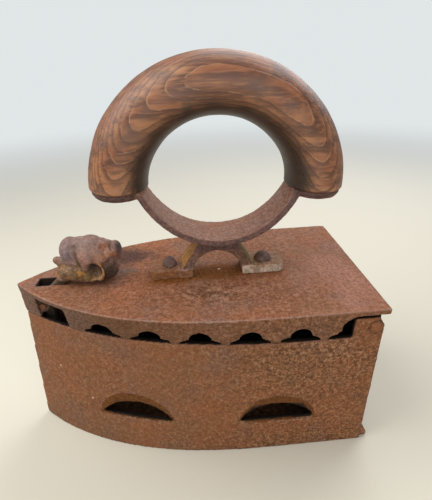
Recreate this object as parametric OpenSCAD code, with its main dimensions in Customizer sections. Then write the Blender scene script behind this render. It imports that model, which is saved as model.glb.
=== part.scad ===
// Cast iron charcoal clothes iron: a boat-shaped tub with a hinged lid, a figural gravity latch
// at the nose and an arched wooden grip on a cast bracket. Nose towards -X, hinge at +X, soleplate
// on Z = 0. All sizes in millimetres.

/* [Lid] */
// Length of the lid from the nose to the rear edge
lid_l = 210; // [175:1:260]
// Greatest width of the lid
lid_w = 111.6; // [96:0.1:140]
// Thickness of the lid plate
lid_t = 3.8; // [3:0.1:5]
// Height of the lid's side face, plate included
skirt_h = 20.1; // [17:0.1:25]
// Thickness of the skirt under the plate
skirt_t = 3.6; // [2.4:0.1:4.5]
// Length over which the lid swells from its nose to its full width
lid_bow_l = 158; // [120:1:175]
// Solid length of the lid's nose in front of its hollow
lid_nose_t = 6; // [4:0.5:9]

/* [Scalloped skirt] */
// Distance between scallop centres
scallop_pitch = 27.3; // [24:0.1:34]
// Width of one scallop at the rim of the tub
scallop_w = 22.2; // [16:0.1:23]
// Height of one scallop
scallop_h = 10.2; // [7:0.1:11]
// Radius of the crown of a scallop
crown_r = 6; // [4:0.1:6.5]
// Radius of the small shoulder at each side of a scallop
shoulder_r = 3.4; // [2:0.1:4]
// Distance from the lid's rear edge to the centre of the last scallop
scallop_rear = 46.8; // [44:0.1:60]
// Distance from the lid's rear edge to the end of the skirt
skirt_end = 31.5; // [28:0.1:33]
// Distance from the lid's nose to the front of the nose window
window_front = 13.5; // [12:0.1:15]
// Length of the nose window
window_l = 19.5; // [14:0.1:24]

/* [Tub] */
// Height of the tub's rim
tub_h = 88.4; // [75:0.1:110]
// Width of the tub across its rim
tub_w = 105; // [90:0.1:132]
// Width of the tub across its sole
sole_w = 96; // [84:0.1:126]
// Thickness of the tub's walls
wall_t = 4.2; // [3.5:0.1:5.5]
// Thickness of the sole
sole_t = 11; // [8:0.5:16]
// Solid length of the tub's nose in front of its hollow
tub_nose_t = 5; // [4:0.5:8]
// How far the sole's nose stands ahead of the lid's
nose_lead = 4.5; // [2:0.1:8]
// How far the rim's nose stands behind the lid's
rim_setback = 1.1; // [0.5:0.1:4]
// Length over which the rim swells to its full width
rim_bow_l = 193; // [150:1:205]
// Length over which the sole swells to its full width
sole_bow_l = 171.5; // [140:0.5:185]
// How far the lid overhangs the tub's rear wall
rear_lip = 0.7; // [0.4:0.1:2]
// Depth of the heel behind the rear wall
heel_d = 5.2; // [3:0.1:8]
// Height of the heel
heel_h = 13; // [8:0.5:18]

/* [Draught vents] */
// Width of a vent's mouth at its sill
vent_w = 47.5; // [44:0.5:50]
// Height of a vent's mouth
vent_h = 20.6; // [16:0.1:21.5]
// Width of a vent's throat at its sill
throat_w = 43; // [34:0.5:43.5]
// Height of a vent's throat
throat_h = 11.4; // [8:0.1:14]
// Height of the sills above the table
vent_sill = 26; // [24:0.1:30]
// Depth of the splay between mouth and throat
vent_splay_d = 2.2; // [1.5:0.1:3]
// Distance between the two vents of a side
vent_pitch = 87; // [80:0.5:95]
// Distance from the lid's rear edge to the rear vents
vent_rear = 56.7; // [48:0.1:60]

/* [Hinge] */
// Height of the hinge axis above the rim
hinge_up = 6.8; // [6.4:0.1:7.2]
// Distance from the lid's rear edge to the hinge axis
hinge_in = 5.3; // [5:0.1:6.5]
// Radius of the hinge pin
hinge_r = 2.4; // [2:0.1:2.6]
// Radius of the lid's ears round the pin
ear_r = 5.1; // [4.4:0.1:5.2]
// Width of one ear
ear_w = 10; // [6:0.5:16]
// Length of the tub's lugs
lug_l = 17; // [15:0.5:22]
// Height of the tub's lugs above the rim
lug_h = 12.9; // [11:0.1:13.5]
// Size of the bevel on the rear corner of a lug
lug_bevel = 3.4; // [1:0.1:5]

/* [Latch] */
// Distance from the lid's nose to the latch pin
latch_in = 14.8; // [14:0.1:17]
// Depth of the latch pin below the lid plate
latch_down = 9; // [8:0.1:10]
// Radius of the latch pin
latch_pin_r = 2; // [1.5:0.1:2.4]
// Half width of the slot in the lid
slot_half = 5.0; // [4.5:0.1:7]
// Length of the slot
slot_l = 18.6; // [18.5:0.1:23]
// Length of the slot ahead of the latch pin
slot_front = 2.5; // [2.2:0.1:3]
// Thickness of the latch's stem
stem_t = 6.6; // [5:0.1:7]
// Angle of the stem above the lid
stem_angle = 49; // [46:1:52]
// Play between the hook's toe and the catch
toe_gap = 1.2; // [1:0.1:2]

/* [Handle bracket] */
// Distance from the middle of the lid to the middle of the bracket, towards the hinge
handle_x = 17.6; // [5:0.1:25]
// How far the handle leans back, in degrees
handle_lean = 2.5; // [0:0.1:4]
// Inner radius of the arch between the feet
arch_r = 15; // [12:0.1:17]
// Thickness of the arch
arch_t = 6.8; // [5:0.1:8]
// Height of the arch's centre above the lid
arch_up = 2; // [0:0.1:4]
// Half width of the arch piece where it meets the band
arch_top = 9.2; // [7:0.1:14]
// Half width of the arch and feet
foot_half = 9; // [7.5:0.1:12]
// Distance from the middle of the bracket to the end of a foot
foot_reach = 41.3; // [38:0.1:48]
// Thickness of a foot
foot_t = 5.6; // [4:0.1:7]
// Distance from the middle of the bracket to a foot screw
screw_reach = 29; // [27:0.1:32]
// Radius of the foot screws
screw_r = 2.6; // [2:0.1:3]
// Inner radius of the curved band
band_r = 46.9; // [42:0.1:52]
// Thickness of the band
band_t = 3.8; // [3:0.1:5]
// Half width of the band at its lowest point
band_mid = 14.8; // [11:0.1:18]
// Half width of the band at its ends
band_end = 11.2; // [8:0.1:15]

/* [Grip] */
// Height of the grip's centre above the lid
grip_up = 54.6; // [50:0.1:60]
// Radius of the grip's centre line
grip_r = 55.1; // [50:0.1:60]
// Half thickness of the grip towards the hand gap
grip_half = 16.4; // [13:0.1:18]
// Half width of the grip across the iron
grip_wide = 19.6; // [15:0.1:24]
// How far the grip's ends reach below its centre
grip_drop = 1.2; // [0.5:0.1:4]
// Thickness of the end plates under the grip
plate_t = 4.4; // [3:0.1:6]
// How much smaller an end plate is than the grip, all round
plate_inset = 1.3; // [0.5:0.1:3]

/* [Fire grate] */
// Height of the grate's underside above the sole
grate_up = 28.5; // [6:0.5:32]
// Thickness of the grate
grate_t = 3; // [2:0.1:4]
// Gap between the grate and the walls
grate_gap = 1.6; // [1:0.1:4]

/* [Hidden] */
$fn = 64;

// Shape of the bow: how full its side is and how blunt its nose is
bow_fullness = 2.83;
bow_bluntness = 1.07;
outline_steps = 26;

// Fits between pieces
pin_fit = 0.06;
screw_fit = 0.2;
side_gap = 0.3;

lid_z = tub_h + skirt_h;
plate_z = lid_z - lid_t;
nose_x = -lid_l / 2;
rear_x = lid_l / 2;
wall_rear_x = rear_x - rear_lip;
sole_nose_x = nose_x - nose_lead;
rim_nose_x = nose_x + rim_setback;

hinge_x = rear_x - hinge_in;
hinge_z = tub_h + hinge_up;
lug_z = tub_h + lug_h;
lug_x = wall_rear_x - lug_l;

latch_x = nose_x + latch_in;
latch_z = plate_z - latch_down;

function bow(u, half, run) =
    half * pow(1 - pow(1 - min(max(u, 0), run) / run, bow_fullness), 1 / bow_bluntness);

// Boat outline from its nose to its rear, both sides, closer together near the nose
function boat(nose, rear, half, run) =
    let (side = [for (i = [0 : outline_steps])
            let (u = (rear - nose) * pow(i / outline_steps, 2)) [nose + u, bow(u, half, run)]])
    concat(side, [for (i = [outline_steps : -1 : 1]) [side[i][0], -side[i][1]]]);

// Outline of the tub at a height, with its straight-sided lean between sole and rim
function tub_outline(z, inset = 0, nose_inset = 0) =
    let (s = z / tub_h,
         low = boat(sole_nose_x + nose_inset, wall_rear_x - inset, sole_w / 2 - inset, sole_bow_l),
         high = boat(rim_nose_x + nose_inset, wall_rear_x - inset, tub_w / 2 - inset, rim_bow_l))
    [for (i = [0 : len(low) - 1]) low[i] * (1 - s) + high[i] * s];

// Half width of the tub's outside at a place along it and a height
function tub_half(x, z) =
    bow(x - sole_nose_x, sole_w / 2, sole_bow_l) * (1 - z / tub_h)
    + bow(x - rim_nose_x, tub_w / 2, rim_bow_l) * z / tub_h;

lug_t = wall_t + side_gap;
lug_outer = tub_half(hinge_x, hinge_z);
lug_inner = lug_outer - lug_t;
pin_proud = 0.6;

iron = [0.44, 0.30, 0.23];
iron_dark = [0.34, 0.25, 0.22];
rust = [0.52, 0.31, 0.17];
grip_wood = [0.45, 0.25, 0.15];

module slab(points, z, h = 0.01) { translate([0, 0, z]) linear_extrude(h) polygon(points); }

module along_y(half) { rotate([90, 0, 0]) translate([0, 0, -half]) linear_extrude(2 * half) children(); }

module rod_y(r, half) { rotate([90, 0, 0]) translate([0, 0, -half]) cylinder(r = r, h = 2 * half); }

// ---- Tub ----

vent_reach = 14;

// Part of a circle standing on its chord
module arc_piece(w, h) {
    r = (w * w / 4 + h * h) / (2 * h);
    intersection() {
        translate([0, h - r]) circle(r, $fn = 72);
        translate([-w / 2, 0]) square([w, h]);
    }
}

module vent_cut() {
    rotate([90, 0, 0]) {
        hull() {
            linear_extrude(vent_reach) arc_piece(vent_w, vent_h);
            translate([0, 0, -vent_splay_d]) linear_extrude(0.01) arc_piece(throat_w, throat_h);
        }
        translate([0, 0, -vent_reach]) linear_extrude(vent_reach) arc_piece(throat_w, throat_h);
    }
}

module vents() {
    for (x = [rear_x - vent_rear, rear_x - vent_rear - vent_pitch], side = [0, 1])
        mirror([0, side, 0])
            let (turn = atan(tub_half(x + 1, vent_sill) - tub_half(x, vent_sill)))
                translate([x, -tub_half(x, vent_sill), vent_sill]) rotate([0, 0, -turn]) vent_cut();
}

catch_x = latch_x - 5.2;
catch_h = 5.4;

module tub_hollow() {
    difference() {
        hull() {
            slab(tub_outline(sole_t, wall_t, tub_nose_t), sole_t);
            slab(tub_outline(lug_z + 1, wall_t, tub_nose_t), lug_z + 1);
        }
        translate([sole_nose_x, -tub_w / 2, tub_h - catch_h]) cube([catch_x - sole_nose_x, tub_w, catch_h]);
    }
}

heel_inset = 2;
heel_edge = 2.8;
lug_bevel_slope = 1.6;

grate_z = sole_t + grate_up;
grate_rest_r = 4.5;
grate_rests = [[-62, 0], [-10, -26], [-10, 26], [40, 0], [80, -30], [80, 30]];

module body() {
    color(iron) difference() {
        union() {
            hull() {
                slab(tub_outline(0), 0);
                slab(tub_outline(lug_z), lug_z - 0.01);
            }
            // heel behind the rear wall
            along_y(sole_w / 2 - heel_inset)
                polygon([[wall_rear_x - 1, 0], [wall_rear_x + heel_d, 0],
                         [wall_rear_x + heel_d, heel_edge], [wall_rear_x - 1, heel_h]]);
        }
        difference() {
            tub_hollow();
            for (p = grate_rests) translate([p[0], p[1], 0]) cylinder(r = grate_rest_r, h = grate_z);
        }
        vents();
        // everything above the rim except the two rear lugs
        translate([sole_nose_x, -tub_w, tub_h]) cube([lug_x - sole_nose_x, 2 * tub_w, lug_h + 1]);
        translate([lug_x - 1, -lug_inner, tub_h]) cube([lug_l + heel_d, 2 * lug_inner, lug_h + 1]);
        along_y(tub_w)
            polygon([[wall_rear_x - lug_bevel, lug_z + 1], [wall_rear_x - lug_bevel, lug_z],
                     [wall_rear_x, lug_z - lug_bevel_slope * lug_bevel], [wall_rear_x + 1, lug_z + 1]]);
        translate([hinge_x, 0, hinge_z]) rod_y(hinge_r + pin_fit / 2, tub_w);
    }
}

module hinge_pin() {
    color(iron_dark) translate([hinge_x, 0, hinge_z]) rod_y(hinge_r, lug_outer + pin_proud);
}

module fire_grate() {
    nose_gap = 14;
    edge = tub_outline(grate_z, wall_t + grate_gap, tub_nose_t + grate_gap + nose_gap);
    slot_half_w = 2.6;
    slot_pitch = 13;
    first_slot_x = -56;
    end_margin = 24;
    bar = 3;
    color(iron_dark) difference() {
        slab(edge, grate_z, grate_t);
        for (x = [first_slot_x : slot_pitch : rear_x - end_margin], row = [-1, 0, 1])
            let (room = tub_half(x, grate_z) - wall_t - 2 * bar, reach = room / 3 - bar)
                translate([x, row * room * 2 / 3, grate_z - 1]) linear_extrude(grate_t + 2) union() {
                    square([2 * slot_half_w, 2 * reach - 2 * slot_half_w], center = true);
                    for (s = [-1, 1]) translate([0, s * (reach - slot_half_w)]) circle(slot_half_w, $fn = 24);
                }
    }
}

// ---- Lid ----

last_scallop_x = rear_x - scallop_rear;
window_end_x = nose_x + window_front + window_l;
scallop_n = floor((last_scallop_x - scallop_w / 2 - window_end_x) / scallop_pitch) + 1;

// How far the cutting shapes reach below the rim
below = 5;

module scallop() {
    shoulder_x = scallop_w / 2 - shoulder_r;
    translate([0, scallop_h - crown_r]) circle(crown_r);
    for (s = [-1, 1]) translate([s * shoulder_x, 0]) circle(shoulder_r);
    translate([-shoulder_x, -below]) square([2 * shoulder_x, below + scallop_h - crown_r]);
}

// Rear end of the skirt: a last shoulder, then a cove up to the plate
module skirt_tail() {
    hollow_h = plate_z - tub_h;
    cove_r = hollow_h * 0.56;
    cove_x = cove_r + 7;
    step_x = shoulder_r * 1.6;
    translate([shoulder_r, 0]) circle(shoulder_r);
    translate([shoulder_r, -below]) square([skirt_end, below + shoulder_r]);
    translate([cove_x, hollow_h - cove_r]) circle(cove_r);
    translate([cove_x, 0]) square([skirt_end, hollow_h]);
    translate([step_x, 0]) square([skirt_end, cove_r * 0.62]);
}

module lid_shell() {
    difference() {
        hull() {
            slab(boat(nose_x, rear_x, lid_w / 2, lid_bow_l), lid_z - 0.01);
            slab(boat(rim_nose_x, rear_x, tub_w / 2, rim_bow_l), tub_h);
        }
        hull() {
            slab(boat(nose_x + lid_nose_t, rear_x + 2, lid_w / 2 - skirt_t, lid_bow_l), plate_z - 0.01);
            slab(boat(rim_nose_x + lid_nose_t, rear_x + 2, tub_w / 2 - skirt_t, rim_bow_l), tub_h - 1);
        }
        translate([0, 0, tub_h]) {
            for (i = [0 : scallop_n - 1]) translate([last_scallop_x - i * scallop_pitch, 0, 0])
                along_y(lid_w) scallop();
            translate([rear_x - skirt_end, 0, 0]) along_y(lid_w) skirt_tail();
        }
        translate([nose_x + window_front, -lid_w / 2, tub_h - 1]) cube([window_l, lid_w, plate_z - tub_h + 1]);
    }
}

cheek_t = 3.4;
cheek_r = 4.4;
cheek_in = slot_half - 0.4;
apron_t = 2.2;
apron_x = rear_x - 0.8;
apron_drop = 3;
ear_out = lug_inner - side_gap;

module ear() {
    rod_half = ear_w / 2;
    translate([hinge_x, ear_out - rod_half, hinge_z]) rod_y(ear_r, rod_half);
    translate([hinge_x - ear_r, ear_out - ear_w, hinge_z])
        cube([apron_x - hinge_x + ear_r, ear_w, plate_z - hinge_z + 0.5]);
}

module lid() {
    color(iron) difference() {
        union() {
            lid_shell();
            for (side = [0, 1]) mirror([0, side, 0]) {
                ear();
                // cheeks under the slot that carry the latch pin
                translate([latch_x, cheek_in + cheek_t / 2, latch_z]) rod_y(cheek_r, cheek_t / 2);
                translate([latch_x - cheek_r, cheek_in, latch_z])
                    cube([2 * cheek_r, cheek_t, plate_z - latch_z + 0.5]);
            }
            // apron that closes the gap over the rear wall between the ears
            translate([apron_x - apron_t, -ear_out, hinge_z - apron_drop])
                cube([apron_t, 2 * ear_out, plate_z - hinge_z + apron_drop + 0.5]);
        }
        translate([latch_x - slot_front, -slot_half, plate_z - 1]) cube([slot_l, 2 * slot_half, lid_t + 2]);
        translate([latch_x, 0, latch_z]) {
            rod_y(latch_pin_r + pin_fit / 2, 2 * slot_half);
            // pocket for the latch's barrel between the nose's narrowing sides
            rod_y(barrel_r + side_gap, cheek_in);
        }
        translate([hinge_x, 0, hinge_z]) rod_y(hinge_r + pin_fit, tub_w);
        for (s = [-1, 1]) translate([handle_x + s * screw_reach, 0, plate_z - 1])
            cylinder(r = screw_r + screw_fit, h = lid_t + 2);
    }
}

module latch_pin() {
    color(iron_dark) translate([latch_x, 0, latch_z]) rod_y(latch_pin_r, cheek_in + cheek_t + pin_end);
}

// ---- Latch ----

barrel_half = cheek_in - side_gap;
barrel_r = 4.6;
hook_half = 2.3;
hook_front = 1;
hook_t = 4.8;
toe_z = tub_h - catch_h - 0.6;
toe_h = 4;
pin_end = 0.8;
stem_l = 35;
stem_half = barrel_half - 0.5;
head_x = latch_x + 30.5;
head_z = lid_z + 13.9;
// Lumps of the worn cast head: place from its middle and radius
head_lumps = [[0, 0, 0, 13.6], [-8.2, 0, 1.2, 11], [10.2, 0, -1.4, 11.6], [2, -3, 3.2, 11.6],
              [-14, 3, -0.6, 6], [15.6, 1, 5.6, 4.6]];

module latch() {
    color(iron_dark) difference() {
        union() {
            translate([latch_x, 0, latch_z]) {
                rod_y(barrel_r, barrel_half);
                rotate([0, -stem_angle, 0]) translate([0, -stem_half, -stem_t / 2])
                    cube([stem_l, 2 * stem_half, stem_t]);
            }
            difference() {
                for (p = head_lumps) translate([head_x + p[0], p[1], head_z + p[2]])
                    rotate([90, 0, 25]) sphere(r = p[3]);
                translate([head_x - 40, -40, lid_z + side_gap - 40]) cube([80, 80, 40]);
            }
            // hook that hangs from the barrel, with a toe towards the catch
            translate([latch_x - hook_front, -hook_half, toe_z - toe_h])
                cube([hook_t, 2 * hook_half, latch_z - toe_z + toe_h]);
            translate([catch_x + toe_gap, -hook_half, toe_z - toe_h])
                cube([latch_x - catch_x - toe_gap, 2 * hook_half, toe_h]);
        }
        translate([latch_x, 0, latch_z]) rod_y(latch_pin_r + pin_fit, 2 * slot_half);
    }
}

// ---- Handle ----

band_sunk = 1.2;
band_z = lid_z + arch_up + arch_r + arch_t + band_r + band_t - band_sunk;
grip_z = lid_z + grip_up;
seat_z = grip_z - grip_drop;

module leaned() {
    translate([handle_x, 0, lid_z]) rotate([0, handle_lean, 0]) translate([-handle_x, 0, -lid_z]) children();
}

function oval(a, b, n = 56) = [for (i = [0 : n - 1]) [a * cos(360 * i / n), b * sin(360 * i / n)]];

module band() {
    reach = grip_r + grip_half;
    intersection() {
        translate([handle_x, 0, band_z]) along_y(band_mid) difference() {
            circle(band_r + band_t, $fn = 128);
            circle(band_r, $fn = 128);
            translate([-reach, seat_z - plate_t / 2 - band_z]) square([2 * reach, 2 * reach]);
        }
        translate([handle_x, 0, lid_z]) linear_extrude(grip_up)
            polygon([[-reach, -band_end], [0, -band_mid], [reach, -band_end],
                     [reach, band_end], [0, band_mid], [-reach, band_end]]);
    }
}

module end_plate() {
    a = grip_half - plate_inset;
    b = grip_wide - plate_inset;
    taper = 0.9;
    rim = plate_t / 2;
    translate([0, 0, -rim]) linear_extrude(rim) polygon(oval(a, b));
    translate([0, 0, -rim]) mirror([0, 0, 1]) linear_extrude(plate_t - rim, scale = taper) polygon(oval(a, b));
}

grip_screw_r = 2.2;
grip_screw_l = 22;
grip_screw_head_r = 4.4;
grip_screw_head_h = 2.6;

module handle_bracket() {
    foot_corner = 2.5;
    leg_foot = arch_r + arch_t;
    leg_rise = arch_up + arch_r + arch_t + 1.7;
    color(rust) difference() {
        union() {
            // arch and its legs
            intersection() {
                translate([handle_x, 0, lid_z]) along_y(foot_half - 0.5) difference() {
                    polygon([[-leg_foot, 0], [leg_foot, 0], [leg_foot, foot_t], [arch_top, leg_rise],
                             [-arch_top, leg_rise], [-leg_foot, foot_t]]);
                    translate([0, arch_up]) circle(arch_r);
                    translate([-arch_r, -arch_r]) square([2 * arch_r, arch_r + arch_up]);
                }
                translate([handle_x - 100, -100, lid_z]) cube([200, 200, 100]);
            }
            for (s = [0, 1]) translate([handle_x, 0, lid_z]) mirror([s, 0, 0]) linear_extrude(foot_t)
                polygon([[arch_r, -foot_half], [foot_reach - foot_corner, -foot_half],
                         [foot_reach, foot_corner - foot_half], [foot_reach, foot_half - foot_corner],
                         [foot_reach - foot_corner, foot_half], [arch_r, foot_half]]);
            leaned() {
                band();
                for (s = [-1, 1]) translate([handle_x + s * grip_r, 0, seat_z]) end_plate();
            }
        }
        for (s = [-1, 1]) translate([handle_x + s * screw_reach, 0, lid_z - 1])
            cylinder(r = screw_r + screw_fit, h = foot_t + 2);
        leaned() for (s = [-1, 1]) translate([handle_x + s * grip_r, 0, seat_z - plate_t - 1])
            cylinder(r = grip_screw_r + screw_fit, h = plate_t + 2);
    }
}

// How much smaller the grip is where it meets the end plates
end_inset = 0.5;

module wooden_grip() {
    color(grip_wood) leaned() difference() {
        union() {
            translate([handle_x, 0, grip_z]) rotate([90, 0, 0]) rotate_extrude(angle = 180, $fn = 128)
                translate([grip_r, 0]) polygon(oval(grip_half, grip_wide));
            for (s = [-1, 1]) translate([handle_x + s * grip_r, 0, seat_z])
                linear_extrude(grip_drop + 2) polygon(oval(grip_half - end_inset, grip_wide - end_inset));
        }
        for (s = [-1, 1]) translate([handle_x + s * grip_r, 0, seat_z - 1])
            cylinder(r = grip_screw_r + pin_fit, h = grip_screw_l - plate_t + 2);
    }
}

module grip_screw(s) {
    color(iron_dark) leaned() translate([handle_x + s * grip_r, 0, seat_z - plate_t]) {
        cylinder(r = grip_screw_r, h = grip_screw_l);
        translate([0, 0, -grip_screw_head_h]) cylinder(r1 = grip_screw_head_r * 0.7, r2 = grip_screw_head_r,
                                                        h = grip_screw_head_h);
    }
}

module grip_screw_front() { grip_screw(-1); }
module grip_screw_rear() { grip_screw(1); }

// ---- Foot screws and nuts ----

nut_t = 4;
nut_w = 10;
screw_tail = 2;
slot_w = 1.1;
slot_d = 1.4;

// Round-headed screw: head radius, head height and whether it has a driver slot
module foot_screw(s, head_r, head_h, slotted) {
    dome_r = (head_r * head_r + head_h * head_h) / (2 * head_h);
    shank_l = foot_t + lid_t + nut_t + screw_tail;
    color(iron_dark) translate([handle_x + s * screw_reach, 0, lid_z + foot_t]) difference() {
        union() {
            translate([0, 0, -shank_l]) cylinder(r = screw_r, h = shank_l + 0.5);
            intersection() {
                translate([0, 0, head_h - dome_r]) sphere(r = dome_r);
                cylinder(r = head_r, h = head_h);
            }
        }
        if (slotted) rotate([0, 0, 62]) translate([-head_r - 1, -slot_w / 2, head_h - slot_d])
            cube([2 * head_r + 2, slot_w, slot_d + 1]);
    }
}

module foot_screw_front() { foot_screw(-1, 3.9, 3.6, false); }
module foot_screw_rear() { foot_screw(1, 4.7, 3.2, true); }

module foot_nut(s) {
    color(iron_dark) translate([handle_x + s * screw_reach, 0, plate_z - nut_t]) difference() {
        rotate([0, 0, 9]) translate([-nut_w / 2, -nut_w / 2, 0]) cube([nut_w, nut_w, nut_t]);
        translate([0, 0, -1]) cylinder(r = screw_r + pin_fit, h = nut_t + 2);
    }
}

module foot_nut_front() { foot_nut(-1); }
module foot_nut_rear() { foot_nut(1); }

body();
hinge_pin();
fire_grate();
lid();
handle_bracket();
wooden_grip();
grip_screw_front();
grip_screw_rear();
foot_screw_front();
foot_screw_rear();
foot_nut_front();
foot_nut_rear();
latch_pin();
latch();
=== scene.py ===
"""An old charcoal clothes iron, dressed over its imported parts.

A cast iron tub and lid gone to brown rust, a worn figural latch at the nose, a cast bracket and an
arched wooden grip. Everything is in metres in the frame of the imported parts: nose towards -X, hinge
towards +X, sole on Z = 0. Sizes in the classes are in millimetres, as the iron was made in them.
"""

from __future__ import annotations

import logging
import math
from dataclasses import dataclass
from enum import Enum
from typing import Sequence

import bmesh
import bpy
import numpy as np
from mathutils import Matrix, Vector

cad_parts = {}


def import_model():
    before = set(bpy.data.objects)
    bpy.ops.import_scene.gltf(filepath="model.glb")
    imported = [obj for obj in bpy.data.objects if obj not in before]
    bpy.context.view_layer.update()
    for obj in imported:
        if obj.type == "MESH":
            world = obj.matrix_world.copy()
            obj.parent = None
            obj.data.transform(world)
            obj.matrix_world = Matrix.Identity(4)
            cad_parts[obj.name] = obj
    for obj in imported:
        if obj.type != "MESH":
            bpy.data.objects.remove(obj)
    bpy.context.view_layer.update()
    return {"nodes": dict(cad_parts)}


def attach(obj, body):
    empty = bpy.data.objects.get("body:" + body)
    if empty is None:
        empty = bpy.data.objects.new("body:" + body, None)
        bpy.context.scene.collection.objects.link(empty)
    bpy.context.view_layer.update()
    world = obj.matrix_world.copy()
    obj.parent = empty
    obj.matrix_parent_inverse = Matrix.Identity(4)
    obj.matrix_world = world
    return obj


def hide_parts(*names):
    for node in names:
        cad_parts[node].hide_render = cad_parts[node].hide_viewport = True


LOG = logging.getLogger("charcoal_iron")
# One millimetre, and the distance at which two points are merged, both in metres.
MM = 0.001
MERGE = 1e-6
Array = np.ndarray
Mesh = bpy.types.Mesh
Piece = bpy.types.Object
Socket = bpy.types.NodeSocket
Place = tuple[float, float, float]
Path = tuple[Place, ...]
Colour = tuple[float, float, float]


# ---------------------------------------------------------------- fields of numbers


def cell_random(cells: Array, seed: int) -> Array:
    """Gives each whole-numbered cell of space its own fixed number.

    Formula: the three cell numbers and the seed are mixed by multiplying with large odd numbers and
    folding the high bits over the low ones; the lowest 24 bits are the result.

    Args:
        cells: Cell numbers, shape (..., 3).
        seed: Chooses one of many such fields.

    Returns:
        Numbers from 0 to 1, shape (...).
    """
    x, y, z = np.moveaxis(cells.astype(np.int64), -1, 0)
    h = (x * 374761393 + y * 668265263 + z * 1442695041 + seed * 1274126177) & 0xFFFFFFFF
    h = ((h ^ (h >> 13)) * 1274126177) & 0xFFFFFFFF
    h = ((h ^ (h >> 15)) * 2246822519) & 0xFFFFFFFF
    return ((h ^ (h >> 16)) & 0xFFFFFF) / float(0x1000000)


def cloud(points: Array, cell: float, seed: int, octaves: int = 3) -> Array:
    """A soft random field, made of layers of blended cell numbers.

    Formula: in each layer the eight corner numbers of a point's cell are blended by the smooth
    curve 3t^2 - 2t^3 along each axis. Each further layer has half the cell and half the strength.

    Args:
        points: Places in millimetres, shape (n, 3).
        cell: Size of the first layer's cells, in millimetres.
        seed: Chooses the field.
        octaves: How many layers.

    Returns:
        Numbers from about -1 to 1, shape (n,).
    """
    total = np.zeros(len(points))
    weight = 0.0
    for layer in range(octaves):
        place = points * (2.0**layer / cell) + 17.3 * layer
        base = np.floor(place)
        t = place - base
        t = t * t * (3.0 - 2.0 * t)
        value = np.zeros(len(points))
        for corner in range(8):
            step = np.array([corner & 1, corner >> 1 & 1, corner >> 2 & 1])
            share = np.prod(np.where(step == 1, t, 1.0 - t), axis=1)
            value += share * cell_random(base + step, seed + layer)
        total += (value * 2.0 - 1.0) * 0.5**layer
        weight += 0.5**layer
    return total / weight * 1.5


def pits(points: Array, cell: float, seed: int, share: float) -> Array:
    """Round rust pits, at most one to a cell.

    Formula: a pit sits at a random place in its cell with a random radius; its depth falls from 1
    in the middle to 0 at its rim as (1 - d^2 / r^2) squared, and the deepest near pit counts.

    Args:
        points: Places in millimetres, shape (n, 3).
        cell: Size of the cells in millimetres; a pit's radius is 0.2 to 0.55 of it.
        seed: Chooses the field.
        share: Share of the cells that have a pit.

    Returns:
        Depths from 0 to 1, shape (n,).
    """
    place = points / cell
    base = np.floor(place)
    deep = np.zeros(len(points))
    for corner in range(27):
        step = np.array([corner % 3 - 1, corner // 3 % 3 - 1, corner // 9 - 1])
        here = base + step
        centre = here + np.stack([cell_random(here, seed + k) for k in range(3)], axis=-1)
        radius = 0.2 + 0.35 * cell_random(here, seed + 3)
        there = cell_random(here, seed + 4) < share
        bowl = 1.0 - np.sum((place - centre) ** 2, axis=-1) / radius**2
        deep = np.maximum(deep, np.where(there, np.clip(bowl, 0.0, 1.0) ** 2, 0.0))
    return deep


def ramp(values: Array, low: float, high: float) -> Array:
    """Rises smoothly from 0 at low to 1 at high, by the curve 3t^2 - 2t^3."""
    t = np.clip((values - low) / (high - low), 0.0, 1.0)
    return t * t * (3.0 - 2.0 * t)


def blob(points: Array, centre: Sequence[float], reach: Sequence[float]) -> Array:
    """A soft spot: exp(-d^2), d being the distance from its centre in units of its reach."""
    return np.exp(-np.sum(((points - np.array(centre)) / np.array(reach)) ** 2, axis=1))


def stroke(points: Array, path: Sequence[Sequence[float]], reach: float) -> Array:
    """A soft line: exp(-d^2), d being the distance from a path in units of its reach.

    Args:
        points: Places in millimetres, shape (n, 3).
        path: The path's corners, in millimetres.
        reach: Half width of the line, in millimetres.

    Returns:
        Weights from 0 to 1, shape (n,).
    """
    near = np.full(len(points), np.inf)
    for start, end in zip(np.array(path[:-1], float), np.array(path[1:], float)):
        run = end - start
        t = np.clip((points - start) @ run / (run @ run), 0.0, 1.0)
        near = np.minimum(near, np.sum((points - start - t[:, None] * run) ** 2, axis=1))
    return np.exp(-near / reach**2)


# ---------------------------------------------------------------- meshes


def read_points(mesh: Mesh) -> Array:
    """The mesh's vertices in millimetres, shape (n, 3)."""
    flat = np.empty(len(mesh.vertices) * 3)
    mesh.vertices.foreach_get("co", flat)
    return flat.reshape(-1, 3) / MM


def write_points(mesh: Mesh, points: Array) -> None:
    """Puts the vertices at these places, given in millimetres."""
    mesh.vertices.foreach_set("co", (points * MM).ravel())
    mesh.update()


def read_normals(mesh: Mesh) -> Array:
    """The mesh's vertex normals, shape (n, 3)."""
    flat = np.empty(len(mesh.vertices) * 3)
    mesh.vertex_normals.foreach_get("vector", flat)
    return flat.reshape(-1, 3)


def set_mask(mesh: Mesh, name: str, values: float | Array) -> None:
    """Stores one number from 0 to 1 per vertex for the materials to read."""
    layer = mesh.attributes.get(name) or mesh.attributes.new(name, "FLOAT", "POINT")
    each = np.clip(values + np.zeros(len(mesh.vertices)), 0.0, 1.0)
    layer.data.foreach_set("value", each.astype(np.float32))


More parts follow.
